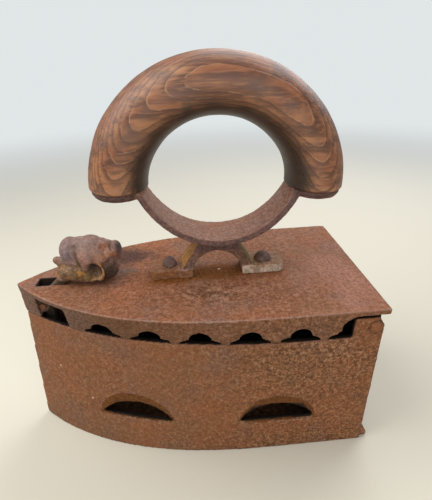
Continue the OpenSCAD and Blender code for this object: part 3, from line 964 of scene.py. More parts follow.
@dataclass
class Tub:
    """The boat-shaped tub with its pierced sides, its grate and the hinge pin.

    Attributes:
        voxel: Size of the casting's small squares.
        rim: Height of the rim.
        rear: Place of the rear side along the iron.
        sill: Height of the vents' sills.
        vent_x: Places of the vents along the iron.
        mouth: Radius of a mouth's circle, and how far its middle stands above the sill.
        throat: Height of a throat.
        eaten: Reach of a rusted throat in front of and behind the vent's middle.
        hinge: Place and height of the hinge pin.
        pin_r: Radius of the pin.
        rivet_r: Radius of its hammered heads.
        pin_half: Half length of the pin.
        grate_z: Height of the grate's underside.
        decay: How rust has eaten the casting.
    """

    voxel: float = 1.1
    rim: float = RIM.height
    rear: float = 104.3
    sill: float = 26.0
    vent_x: tuple[float, float] = (48.3, -38.7)
    mouth: tuple[float, float] = (24.0, -3.4)
    throat: float = 11.4
    eaten: tuple[float, float] = (-22.8, 24.4)
    hinge: tuple[float, float] = (99.7, 95.2)
    pin_r: float = 2.35
    rivet_r: float = 3.6
    pin_half: float = 53.45
    grate_z: float = 39.5
    decay: Decay = Decay(seed=3, chip=0.6, pit=0.36, waves=0.06, scale=0.08)

    def build(self, nodes: dict) -> None:
        """Makes and dresses the tub's pieces."""
        self.shell(nodes["body"])
        self.pin()
        self.grate(nodes["fire_grate"])

    def shell(self, node: Piece) -> None:
        """The casting itself, coarser towards its foot and its rear."""
        throats = [self.burnt_throat(vent, side) for vent in self.vent_x for side in (-1.0, 1.0)]
        piece = even_skin("tub_casting", carved(node.data, throats), self.voxel)
        points = read_points(piece.data)
        arris = ramp(-points[:, 0], 96.0, 99.0)[:, None]
        points += (relaxed(piece.data, points, 5) - points) * arris
        write_points(piece.data, points)
        x, _, z = points.T
        patchy = cloud(points, 30.0, 7, 2)
        rear = ramp(x, -25.0, 90.0) * (0.55 + 0.45 * ramp(z, 30.0, 75.0))
        low = ramp(-z, -32.0, 0.0) * ramp(x, -60.0, 30.0)
        coarse = np.clip(0.12 + 0.85 * rear + 0.5 * low + 0.25 * patchy, 0.0, 1.0)
        mouths, throats = self.round_vents(points)
        rim = ramp(z, self.rim - 2.0, self.rim - 0.6)
        brittle = 0.1 + 0.9 * np.maximum(mouths, throats) + 0.5 * rim
        brittle *= ramp(self.rear - 0.3 - x, 0.0, 1.0) * ramp(x, -99.0, -94.0)
        self.decay.eat(piece, coarse * (1.0 - 0.5 * mouths), brittle)
        self.paint(piece.data, points, patchy)
        dress(piece, IronFinish("tub_rust", rub=0.12).material(), "tub", "body_iron", "body")

    def paint(self, mesh: Mesh, points: Array, patchy: Array) -> None:
        """Lays the casting's deposits and painted light: dust low down, orange rust round the vents
        with a painted glint along their sills, a painted shade ring round the pin's heads, soot
        inside, and painted shade with soot on the rim's top.

        Args:
            mesh: The casting's mesh.
            points: Its places before it was eaten, shape (n, 3).
            patchy: A soft random field, shape (n,).
        """
        x, y, z = points.T
        depth = self.depth(points)
        mouths, throats = self.round_vents(points)
        edge = cloud(points, 3.0, 211, 2)
        lip = ramp(1.1 - np.abs(z - self.sill + 0.3), 0.0, 0.6) * ramp(0.9 - depth, 0.0, 0.5)
        ring = np.hypot(x - self.hinge[0], z - self.hinge[1]) - self.rivet_r - 0.5
        ring = ramp(1.1 - np.abs(ring), 0.0, 0.7) * (np.abs(y) > 50.0)
        rim = ramp(depth, 0.5, 1.2) * ramp(z, self.rim - 1.2, self.rim - 0.7)
        patina_and_shade = PatinaAndShade(mesh)
        patina_and_shade.add(0.5 * ramp(-z, -22.0, 0.0) * (0.6 + patchy), Tone.FOOT_DUST)
        patina_and_shade.add(0.55 * ramp(x, 84.0, 100.0) * (0.5 + patchy), Tone.REAR_RUST)
        patina_and_shade.add(0.25 * ramp(z, 78.0, 87.0), Tone.RIM_RUST)
        patina_and_shade.add(mouths * (1.0 + 0.3 * edge), Tone.ORANGE)
        # Painted glint: a paler tan along the outer edge of each vent's sill.
        patina_and_shade.add(0.8 * lip * mouths * ramp(edge, -0.1, 0.4), Tone.LIP_GLINT)
        # Painted shade: a dark ring round each of the pin's hammered heads.
        patina_and_shade.add(0.65 * ring, Tone.RIVET_SHADE)
        patina_and_shade.add(self.inside(points, depth), Tone.SOOT_AND_SHADE)
        # Painted shade with soot: the rim's top, which lies in the shade under the lid's skirt, is
        # painted near black.
        patina_and_shade.add(0.97 * rim, Tone.SOOT_AND_SHADE)
        patina_and_shade.add(0.95 * throats * ramp(depth + 0.5 * edge, 0.9, 1.6), Tone.SOOT_AND_SHADE)
        patina_and_shade.store()

    def burnt_throat(self, vent: float, side: float) -> Piece:
        """The room that rust has eaten out of one vent's throat, wider than it was cast.

        Formula: part of a circle on a chord. For a chord w and a height h, its radius is
        (w^2 / 4 + h^2) / (2 h). The prism runs from the hollow to beyond the wall; at the rear
        it lies 1 mm nearer to the nose.

        Args:
            vent: Middle of the vent along the iron.
            side: -1 for the near side, 1 for the far side.

        Returns:
            A closed prism through the tub's wall.
        """
        rear = vent > 0.0
        low, high = self.eaten[0] - rear, self.eaten[1] - rear
        chord, rise = high - low, self.throat + 0.3
        radius = (chord**2 / 4.0 + rise**2) / (2.0 * rise)
        x = np.linspace(-chord / 2.0, chord / 2.0, 40)
        z = np.sqrt(np.clip(radius**2 - x**2, 0.0, None)) + rise - radius
        x, z = np.append(x, [chord / 2.0, -chord / 2.0]), np.append(z, [-0.02, -0.02])
        x, z = x + vent + (low + high) / 2.0, z + self.sill
        hollow, beyond = 36.0 if rear else 24.0, 62.0
        rows = [np.stack([x, 0.0 * x + side * y, z], axis=-1) for y in (hollow, beyond)]
        return surface("burnt_throat", np.stack(rows))

    def round_vents(self, points: Array) -> tuple[Array, Array]:
        """Finds the vents' splayed mouths and their throats.

        Formula: a mouth is a circle with its middle a little below the sill, cut by the sill.

        Args:
            points: Places in millimetres, shape (n, 3).

        Returns:
            Weights of the mouths and of the surfaces inside the throats.
        """
        x, _, z = points.T
        height = z - self.sill
        mouths = np.zeros(len(points))
        throats = np.zeros(len(points))
        for vent in self.vent_x:
            away = np.hypot(x - vent, height - self.mouth[1])
            wide = ramp(25.0 - np.abs(x - vent), 0.0, 1.2)
            here = ramp(self.mouth[0] + 0.7 - away, 0.0, 0.8) * ramp(height, -1.2, -0.4) * wide
            mouths = np.maximum(mouths, here)
            low = ramp(self.throat + 0.8 - height, 0.0, 0.6) * ramp(height, -1.4, -0.8)
            throats = np.maximum(throats, low * wide)
        return mouths, throats

    def depth(self, points: Array) -> Array:
        """How far points lie inside the tub's outer side, in millimetres."""
        return np.minimum(inwards(points, SOLE, RIM), self.rear - points[:, 0])

    @staticmethod
    def inside(points: Array, depth: Array) -> Array:
        """Soot on the hollow's sides and floor, thinner at the nose where air comes in."""
        x, y, z = points.T
        hollow = ramp(depth, 2.4, 3.4) * ramp(z, 10.0, 12.0) * ramp(-z, -92.0, -86.0)
        return hollow * (0.97 - 0.45 * ramp(-x, 66.0, 84.0) * ramp(z, 55.0, 80.0))

    def pin(self) -> None:
        """The hinge pin, a rod with both ends hammered to low round heads.

        Formula: the rod's radius is carried from end to end of the pin. Near an end the radius
        follows a flat dome: the head's radius times the square root of 1 - t^2.6, with t from 1
        at the tip to 0 at the lug.
        """
        lug = self.pin_half - 0.6
        t = np.linspace(1.0, 0.0, 10)
        dome = self.rivet_r * np.sqrt(np.clip(1.0 - t**2.6, 0.03, 1.0))
        tip = np.stack([-lug - 0.58 * t, dome], axis=-1)
        neck = np.array([[-lug + 0.25, self.rivet_r], [-lug + 0.3, self.pin_r]])
        half = np.vstack([tip, neck, [[-2.0, self.pin_r]]])
        profile = np.vstack([half, half[::-1] * np.array([-1.0, 1.0])])
        turn = np.linspace(0.0, 2.0 * math.pi, 40, endpoint=False)
        along, angle = np.meshgrid(profile[:, 0], turn, indexing="ij")
        radius = np.repeat(profile[:, 1:], len(turn), axis=1)
        radius = radius * (1.0 + 0.05 * np.sin(3.0 * angle + 0.7) * (radius > self.pin_r + 0.1))
        x, z = self.hinge[0] + radius * np.cos(angle), self.hinge[1] + radius * np.sin(angle)
        piece = surface("hinge_pin_hammered", np.stack([x, along, z], axis=-1))
        set_mask(piece.data, "coarse", 0.5)
        patina_and_shade = PatinaAndShade(piece.data)
        patina_and_shade.add(0.45, Tone.PIN_RUST)
        patina_and_shade.store()
        dress(piece, IronFinish("pin_rust", relief=0.2).material(), "tub", "pin_iron", "hinge_pin")

    def grate(self, node: Piece) -> None:
        """The burnt grate, with cinders stuck in its slots towards the nose."""
        cinders = take_data(self.cinders())
        piece = even_skin("burnt_grate", joined("grate_parts", [node.data, *cinders]), 0.9)
        decay = Decay(waves=0.1, scale=0.15, pit=0.25, pit_cell=2.4, chip=0.4, seed=47)
        decay.eat(piece, 0.7)
        finish = IronFinish("burnt_iron", base=(0.016, 0.013, 0.010), warm=(0.022, 0.015, 0.010),
                            grey=(0.018, 0.016, 0.014), deep=(0.008, 0.006, 0.005),
                            light=(0.045, 0.036, 0.028), rub=0.0, specks=0.0, patina_and_shade=False)
        dress(piece, finish.material(), "tub", "grate_iron", "fire_grate")

    def cinders(self) -> list[Piece]:
        """Crumbs of burnt coal, which fill the slots of the grate's front far part."""
        draw = np.random.default_rng(19)
        x, y = np.meshgrid(np.arange(-50.0, -12.0, 2.3), np.arange(14.0, 37.0, 2.6), indexing="ij")
        places = np.stack([x.ravel(), y.ravel()], axis=-1) + draw.uniform(-0.5, 0.5, (x.size, 2))
        half = draw.uniform((1.9, 2.1, 1.15), (2.6, 2.8, 1.4), (x.size, 3))
        middle = self.grate_z + 1.5
        return [
            Swelling((*place, middle), tuple(size)).shell(f"cinder_{n}", 8, 12)
            for n, (place, size) in enumerate(zip(places.tolist(), half.tolist()))
        ]


@dataclass
class Lid:
    """The lid's plate and scalloped skirt, with the latch's pin and the nuts underneath.

    Attributes:
        voxel: Size of the casting's small squares.
        top: Height of the plate's upper face.
        slot: Place of the latch's slot along the iron, its half length and its half width.
        decay: How rust has eaten the casting.
    """

    voxel: float = 0.8
    top: float = LID_EDGE.height
    slot: Place = (-83.4, 10.4, 5.9)
    decay: Decay = Decay(seed=17, chip=0.45, pit=0.3, waves=0.06, scale=0.08)

    def build(self, nodes: dict) -> None:
        """Makes and dresses the lid's pieces."""
        self.shell(nodes["lid"])
        self.small(nodes)

    def shell(self, node: Piece) -> None:
        """The casting: smoother on top, pitted in front of the bracket."""
        piece = even_skin("lid_casting", node.data, self.voxel)
        points = read_points(piece.data)
        z = points[:, 2]
        on_top = ramp(z, self.top - 1.5, self.top - 0.6)
        patch = blob(points, (13.0, -27.0, self.top), (26.0, 10.5, 9.0)) * on_top
        speckled = blob(points, (-45.0, 26.0, self.top), (26.0, 12.0, 9.0)) * on_top
        patchy = cloud(points, 22.0, 9, 3)
        coarse = 0.34 + 0.9 * patch + 0.55 * (1.0 - on_top) + 0.5 * speckled + 0.2 * patchy
        self.decay.eat(piece, coarse, 0.15 + 0.85 * ramp(-z, -104.0, -100.0))
        patina_and_shade = PatinaAndShade(piece.data)
        self.paint_top(patina_and_shade, points, on_top, patch)
        patina_and_shade.add(speckled, Tone.SPECKLE)
        self.paint_skirt(patina_and_shade, points, on_top)
        patina_and_shade.store()
        finish = IronFinish("lid_rust", base=(0.250, 0.104, 0.050), warm=(0.285, 0.100, 0.042),
                            grey=(0.225, 0.110, 0.078), light=(0.38, 0.20, 0.12), rub=0.42,
                            worn=(0.34, 0.25, 0.22), specks=0.016)
        dress(piece, finish.material(), "lid", "lid_iron", "lid")

    def paint_top(self, patina_and_shade: PatinaAndShade, points: Array, on_top: Array, patch: Array) -> None:
        """Lays the plate's deposits: rosy behind, partly painted sheen, greyer in front, a blotched
        patch at the side.

        Args:
            patina_and_shade: Where the deposits are gathered.
            points: The casting's places, shape (n, 3).
            on_top: 1 on the plate's upper face, 0 below it, shape (n,).
            patch: Where the pitted patch lies, shape (n,).
        """
        x = points[:, 0]
        patchy = cloud(points, 22.0, 9, 3)
        blotches = cloud(points, 3.4, 219, 2)
        rubbed = blob(points, (-38.0, 5.5, self.top), (9.0, 5.0, 4.0))
        # Rosy tone on the plate's rear half, lighter there in part as painted sheen.
        patina_and_shade.add(0.7 * on_top * ramp(x, 40.0, 95.0) * (0.6 + patchy), Tone.LID_ROSE_AND_SHEEN)
        patina_and_shade.add(0.5 * on_top * ramp(-x, -15.0, 95.0) * (0.45 + patchy), Tone.LID_MAUVE)
        patina_and_shade.add(0.55 * patch * ramp(blotches, 0.05, 0.55), Tone.PATCH_DARK)
        patina_and_shade.add(0.8 * patch * ramp(-blotches, -0.05, 0.4), Tone.PATCH_PALE)
        patina_and_shade.add(0.55 * rubbed, Tone.RUBBED_GREY)

    def paint_skirt(self, patina_and_shade: PatinaAndShade, points: Array, on_top: Array) -> None:
        """Lays the deposits of the skirt, the feet's seats and the hollow underneath, and painted
        shade in the slot.

        Args:
            patina_and_shade: Where the deposits are gathered.
            points: The casting's places, shape (n, 3).
            on_top: 1 on the plate's upper face, 0 below it, shape (n,).
        """
        x, y, z = points.T
        skirt = 1.0 - on_top
        under = blob(points, (STAND, -3.0, self.top), (20.0, 9.0, 5.0))
        front = blob(points, (-13.0, -10.5, self.top), (15.0, 4.0, 5.0))
        rear = blob(points, (50.0, -10.0, self.top), (14.0, 3.5, 5.0))
        seats = (1.3 * under + 0.9 * front + 0.3 * rear).clip(0.0, 1.0)
        middle, long, wide = self.slot
        slot = (np.abs(y) < wide) * (np.abs(x - middle) < long)
        inner = ramp(-z, -105.2, -104.0) * ramp(inwards(points, RIM, LID_EDGE), 2.6, 3.8)
        patina_and_shade.add(0.75 * skirt * (0.6 + 0.4 * ramp(-x, -20.0, 60.0)), Tone.SKIRT_BROWN)
        patina_and_shade.add(0.45 * skirt * ramp(-x, 40.0, 80.0), Tone.SKIRT_GREY)
        patina_and_shade.add(seats * on_top, Tone.FEET_ORANGE)
        # Painted shade: the latch's slot is painted near black down its walls.
        patina_and_shade.add(0.97 * slot * ramp(-z, 0.5 - self.top, 1.2 - self.top), Tone.SLOT_SHADE)
        patina_and_shade.add(inner * (0.97 - 0.6 * ramp(-x, 72.0, 84.0)), Tone.SOOT_AND_SHADE)

    def small(self, nodes: dict) -> None:
        """The latch's pin, the nuts and the grip's screws."""
        finish = IronFinish("screw_rust", base=(0.17, 0.092, 0.062), grey=(0.16, 0.10, 0.08),
                            relief=0.2).material()
        slots = {"latch_pin": "pin_iron"}
        for name in ("latch_pin", "foot_nut_front", "foot_nut_rear", "grip_screw_front",
                     "grip_screw_rear"):
            piece = even_skin(name + "_worn", nodes[name].data, 0.4)
            write_points(piece.data, settled_up(read_points(piece.data)))
            decay = Decay(waves=0.04, scale=0.06, pit=0.1, pit_cell=1.6, chip=0.25, seed=len(name))
            decay.eat(piece, 0.4)
            patina_and_shade = PatinaAndShade(piece.data)
            patina_and_shade.add(0.3, Tone.SCREW_RUST)
            patina_and_shade.store()
            dress(piece, finish, "lid", slots.get(name, "screw_iron"), name)


@dataclass
class Bracket:
    """The cast bracket: feet, arch, curved band and end plates, with its two foot screws.

    Attributes:
        voxel: Size of the casting's small squares.
        middle: Its middle along the iron.
        foot_top: Height of the feet's upper faces.
        decay: How rust has eaten the casting.
    """

    voxel: float = 0.6
    middle: float = STAND
    foot_top: float = 113.2
    decay: Decay = Decay(seed=29, chip=0.4, pit=0.2, waves=0.15, pit_cell=2.4)

    def build(self, nodes: dict) -> None:
        """Makes and dresses the bracket and its foot screws."""
        self.casting(nodes["handle_bracket"])
        for name in ("foot_screw_front", "foot_screw_rear"):
            self.screw(nodes[name], name)

    def casting(self, node: Piece) -> None:
        """The casting, pitted low down and smoother on the band."""
        piece = even_skin("bracket_casting", node.data, self.voxel)
        write_points(piece.data, settled_up(read_points(piece.data)))
        points, normals = read_points(piece.data), read_normals(piece.data)
        low = ramp(-points[:, 2], -126.0, -116.0)
        self.decay.eat(piece, 0.2 + 0.8 * low)
        self.paint(piece.data, points, normals)
        finish = IronFinish("bracket_rust", base=(0.298, 0.157, 0.108), warm=(0.290, 0.128, 0.078),
                            grey=(0.270, 0.168, 0.146), light=(0.42, 0.28, 0.20),
                            worn=(0.110, 0.064, 0.056), rub=0.8, specks=0.04, relief=0.22,
                            sheen=0.4)
        dress(piece, finish.material(), "lid", "bracket_iron", "handle_bracket")

    def paint(self, mesh: Mesh, points: Array, normals: Array) -> None:
        """Lays the casting's deposits: ochre on the legs, chalk on the rear foot, a rubbed band with
        a painted highlight on its top, painted shade on the end plates.

        Args:
            mesh: The casting's mesh.
            points: Its places before it was eaten, shape (n, 3).
            normals: Its normals before it was eaten, shape (n, 3).
        """
        x, _, z = points.T
        front, rear, side = x < self.middle, x > self.middle, np.abs(x - self.middle)
        patchy = cloud(points, 9.0, 83, 3)
        outward = ramp(np.sign(x - self.middle) * normals[:, 0], 0.35, 0.7)
        leg = ramp(z, 114.0, 115.5) * ramp(-z, -134.0, -130.0)
        foot = ramp(-z, -115.0, -113.6)
        band = ramp(z, 124.0, 128.0)
        edge = ramp(np.abs(normals[:, 1]), 0.55, 0.95) * band
        near_leg = blob(points, (37.5, -2.0, 113.5), (9.0, 9.0, 3.0)) * foot
        crust = ramp(x, 29.0, 33.0) * ramp(-normals[:, 1], 0.4, 0.8) * ramp(-z, -115.2, -113.8)
        # Painted highlight: the band's upward faces near its middle.
        glow = ramp(normals[:, 2], 0.3, 0.8) * band * ramp(-side, -36.0, -10.0)
        plates = ramp(side, 40.0, 46.0) * ramp(z, 155.0, 160.0)
        specks = blob(points, (24.0, -5.0, 134.0), (26.0, 7.0, 5.0))
        patina_and_shade = PatinaAndShade(mesh)
        patina_and_shade.add(0.6 * leg, Tone.LEG_BROWN)
        patina_and_shade.add(foot * (0.8 + 0.4 * patchy).clip(0.0, 1.0) * front, Tone.FRONT_FOOT)
        patina_and_shade.add(foot * (0.75 + 0.4 * patchy).clip(0.0, 1.0) * rear, Tone.REAR_FOOT)
        patina_and_shade.add(0.7 * edge, Tone.BAND_EDGE)
        patina_and_shade.add(0.9 * outward * leg * front, Tone.OCHRE)
        patina_and_shade.add(0.75 * outward * leg * rear, Tone.OLIVE)
        patina_and_shade.add(0.6 * near_leg, Tone.MUSTARD)
        patina_and_shade.add(crust * (0.6 + 0.5 * cloud(points, 2.4, 91, 2)), Tone.CHALK)
        # Painted highlight: a lighter, redder tone on the band's top.
        patina_and_shade.add(0.45 * glow * (0.6 + patchy), Tone.BAND_HIGHLIGHT)
        # Painted shade on the end plates.
        patina_and_shade.add(0.75 * plates, Tone.PLATE_SHADE)
        patina_and_shade.add(0.9 * specks * ramp(cloud(points, 1.5, 97, 1), 0.95, 1.2), Tone.DUST)
        patina_and_shade.store()

    def screw(self, node: Piece, name: str) -> None:
        """One foot screw, its head rusted to a knob.

        Formula: with r the share of the way from the head's middle to its edge, heights above the
        foot are scaled by 1.1 + 0.4 sqrt(1 - 0.98 r^2), and the head swells by 0.18 sideways.
        """
        piece = even_skin(name + "_worn", node.data, 0.35)
        points = read_points(piece.data)
        head = points[:, 2] > self.foot_top
        away = points[head, :2] - points[head, :2].mean(axis=0)
        share = np.sum(away**2, axis=1) / np.max(np.sum(away**2, axis=1))
        rise = points[head, 2] - self.foot_top
        points[head, 2] = self.foot_top + rise * (1.1 + 0.4 * np.sqrt(1.0 - 0.98 * share))
        points[head, :2] += 0.18 * away
        write_points(piece.data, points)
        decay = Decay(waves=0.06, scale=0.1, pit=0.15, pit_cell=1.8, chip=0.3, seed=53)
        decay.eat(piece, 0.5)
        finish = IronFinish(name + "_rust", base=(0.088, 0.048, 0.040), warm=(0.110, 0.054, 0.040),
                            grey=(0.115, 0.072, 0.070), light=(0.22, 0.14, 0.12),
                            worn=(0.20, 0.135, 0.12), relief=0.25, sheen=0.6, patina_and_shade=False)
        dress(piece, finish.material(), "lid", "screw_iron", name)


@dataclass
class Grip:
    """The arched wooden grip.

    Attributes:
        middle: Its middle along the iron.
        top: Height of the lid.
        up: Height of the half circle's centre above the lid.
        drop: Length of the straight ends below the half circle.
        radius: Radius of the half circle.
        thick: Half thickness towards the hand gap.
        wide: Half width across the iron.
        round_end: Radius of the ends' edges.
        lean: How far it leans back, in degrees.
        crown: Wear of the crown.
        rows: Number of ovals along the skin.
        columns: Number of points in an oval.
    """

    middle: float = STAND
    top: float = LID_EDGE.height
    up: float = 54.6
    drop: float = 1.2
    radius: float = 55.1
    thick: float = 16.4
    wide: float = 19.6
    round_end: float = 1.1
    lean: float = 2.5
    crown: float = 1.3
    rows: int = 360
    columns: int = 128

    def build(self) -> None:
        """Makes and dresses the grip."""
        piece = surface("grip_wood", self.skin())
        points = read_points(piece.data)
        angle = np.tile(np.linspace(0.0, 2.0 * math.pi, self.columns, endpoint=False), self.rows)
        around = np.append(angle, [0.0, 0.0])
        inner = -np.cos(around)
        # The underside towards the hand gap is painted near black: scorch from the fire and painted
        # shade.
        scorch_and_shade = 0.93 * ramp(inner, 0.15, 0.75) + 0.2 * cloud(points, 14.0, 77, 3)
        set_mask(piece.data, "scorch_and_shade", np.clip(scorch_and_shade, 0.0, 0.9) * ramp(inner, 0.0, 0.5))
        dress(piece, WoodFinish("old_wood").material(), "lid", "grip_wood", "wooden_grip")

    def skin(self) -> Array:
        """The grip's surface.

        Formula: an oval, thick towards the hand gap and wide across the iron, is carried along a
        half circle and a short straight drop at each end. Near each end the oval shrinks along a
        quarter circle, which rounds the wood's edge. The whole then leans back about the
        bracket's foot, and its crown is worn flatter.

        Returns:
            Points in millimetres, shape (rows, columns, 3).
        """
        arc = math.pi * self.radius
        along = np.linspace(-self.drop, arc + self.drop, self.rows)
        turn = np.clip(along, 0.0, arc) / self.radius
        extra = along - np.clip(along, 0.0, arc)
        to_end = np.minimum(along + self.drop, arc + self.drop - along)
        past = 1.0 - np.clip(to_end / self.round_end, 0.0, 1.0)
        inset = self.round_end * np.minimum(1.0 - np.sqrt(1.0 - past**2), 0.8)
        around = np.linspace(0.0, 2.0 * math.pi, self.columns, endpoint=False)
        s, a = np.meshgrid(turn, around, indexing="ij")
        shrink = inset[:, None]
        out = self.radius + (self.thick - shrink) * np.cos(a)
        x = -out * np.cos(s)
        z = out * np.sin(s) - np.abs(extra)[:, None]
        y = (self.wide - shrink) * np.sin(a)
        grid = np.stack([x + self.middle, y, z + self.top + self.up], axis=-1)
        flat = grid.reshape(-1, 3)
        centre = np.stack([-self.radius * np.cos(s) + self.middle, 0.0 * s,
                           self.radius * np.sin(s) + self.top + self.up], axis=-1)
        towards = centre.reshape(-1, 3) - flat
        towards /= np.linalg.norm(towards, axis=1, keepdims=True)
        worn = 0.35 * (0.5 + 0.5 * cloud(flat, 22.0, 61, 2))
        worn += 0.10 * (0.5 + 0.5 * cloud(flat, 5.0, 67, 2))
        flat = flat + towards * worn[:, None]
        flat = lean_back(flat, self.middle, self.top, self.lean)
        flat[:, 2] -= self.crown * ramp(flat[:, 2], 185.0, 235.0)
        return settled_up(flat).reshape(grid.shape)


def settled_up(points: Array) -> Array:
    """Lifts the bracket's plates and the grip's ends together by the 1.7 mm they have drawn up."""
    lifted = points.copy()
    lifted[:, 2] += 1.7 * ramp(points[:, 2], 134.0, 157.0) * ramp(-points[:, 2], -190.0, -166.0)
    return lifted


def lean_back(points: Array, middle: float, top: float, degrees: float) -> Array:
    """Turns points about the line y at (middle, top), the upper end towards +X."""
    turn = math.radians(degrees)
    x, z = points[:, 0] - middle, points[:, 2] - top
    return np.stack([x * math.cos(turn) + z * math.sin(turn) + middle, points[:, 1],
                     z * math.cos(turn) - x * math.sin(turn) + top], axis=-1)


@dataclass(frozen=True)
class Swelling:
    """A rounded part of the latch's head: its centre and half sizes, in millimetres."""

    centre: Place
    half: Place

    def shell(self, name: str, rows: int = 24, columns: int = 36) -> Piece:
        """A closed shell.

        Formula: the point at longitude u and latitude v is the centre plus the half sizes times
        (cos v cos u, cos v sin u, sin v).

        Args:
            name: Name of the object.
            rows: Number of latitudes.
            columns: Number of longitudes.

        Returns:
            The shell.
        """
        turn = np.linspace(0.0, 2.0 * math.pi, columns, endpoint=False)
        v, u = np.meshgrid(np.linspace(-1.5, 1.5, rows), turn, indexing="ij")
        ball = np.stack([np.cos(v) * np.cos(u), np.cos(v) * np.sin(u), np.sin(v)], axis=-1)
        return surface(name, np.array(self.centre) + ball * np.array(self.half))


@dataclass(frozen=True)
class Cut:
    """A groove, dent or ridge worn into the head, along a path in millimetres.

    Attributes:
        path: Corners of the path.
        reach: Half width.
        depth: Depth, or height where it is below 0.
    """

    path: Path
    reach: float
    depth: float


@dataclass(frozen=True)
class Spot:
    """One deposit on the head, round or drawn along a path, in millimetres.

    Attributes:
        tone: Its colour.
        share: How strongly it covers.
        path: Corners of its path, or the one middle of a round spot.
        reach: Half width of the path, or a round spot's reach along each axis.
    """

    tone: Tone
    share: float
    path: Path
    reach: float | Place

    def weight(self, points: Array) -> Array:
        """How strongly it covers each point."""
        if len(self.path) == 1:
            return self.share * blob(points, self.path[0], self.reach)
        return self.share * stroke(points, self.path, self.reach)


GROOVE: Path = ((-64.7, -6.0, 132.6), (-63.9, -9.5, 127.0), (-63.2, -10.5, 121.5))
FOLD: Path = ((-49.6, -5.6, 131.8), (-53.6, -9.5, 127.6), (-56.0, -10.8, 122.8))
HOOP: Path = ((-51.0, -10.8, 122.0), (-49.7, -11.0, 117.6), (-51.8, -11.2, 113.6),
              (-57.0, -11.2, 112.2))
CRUST: Path = ((-77.0, -5.0, 118.0), (-67.0, -10.0, 116.6), (-56.0, -11.5, 114.2))


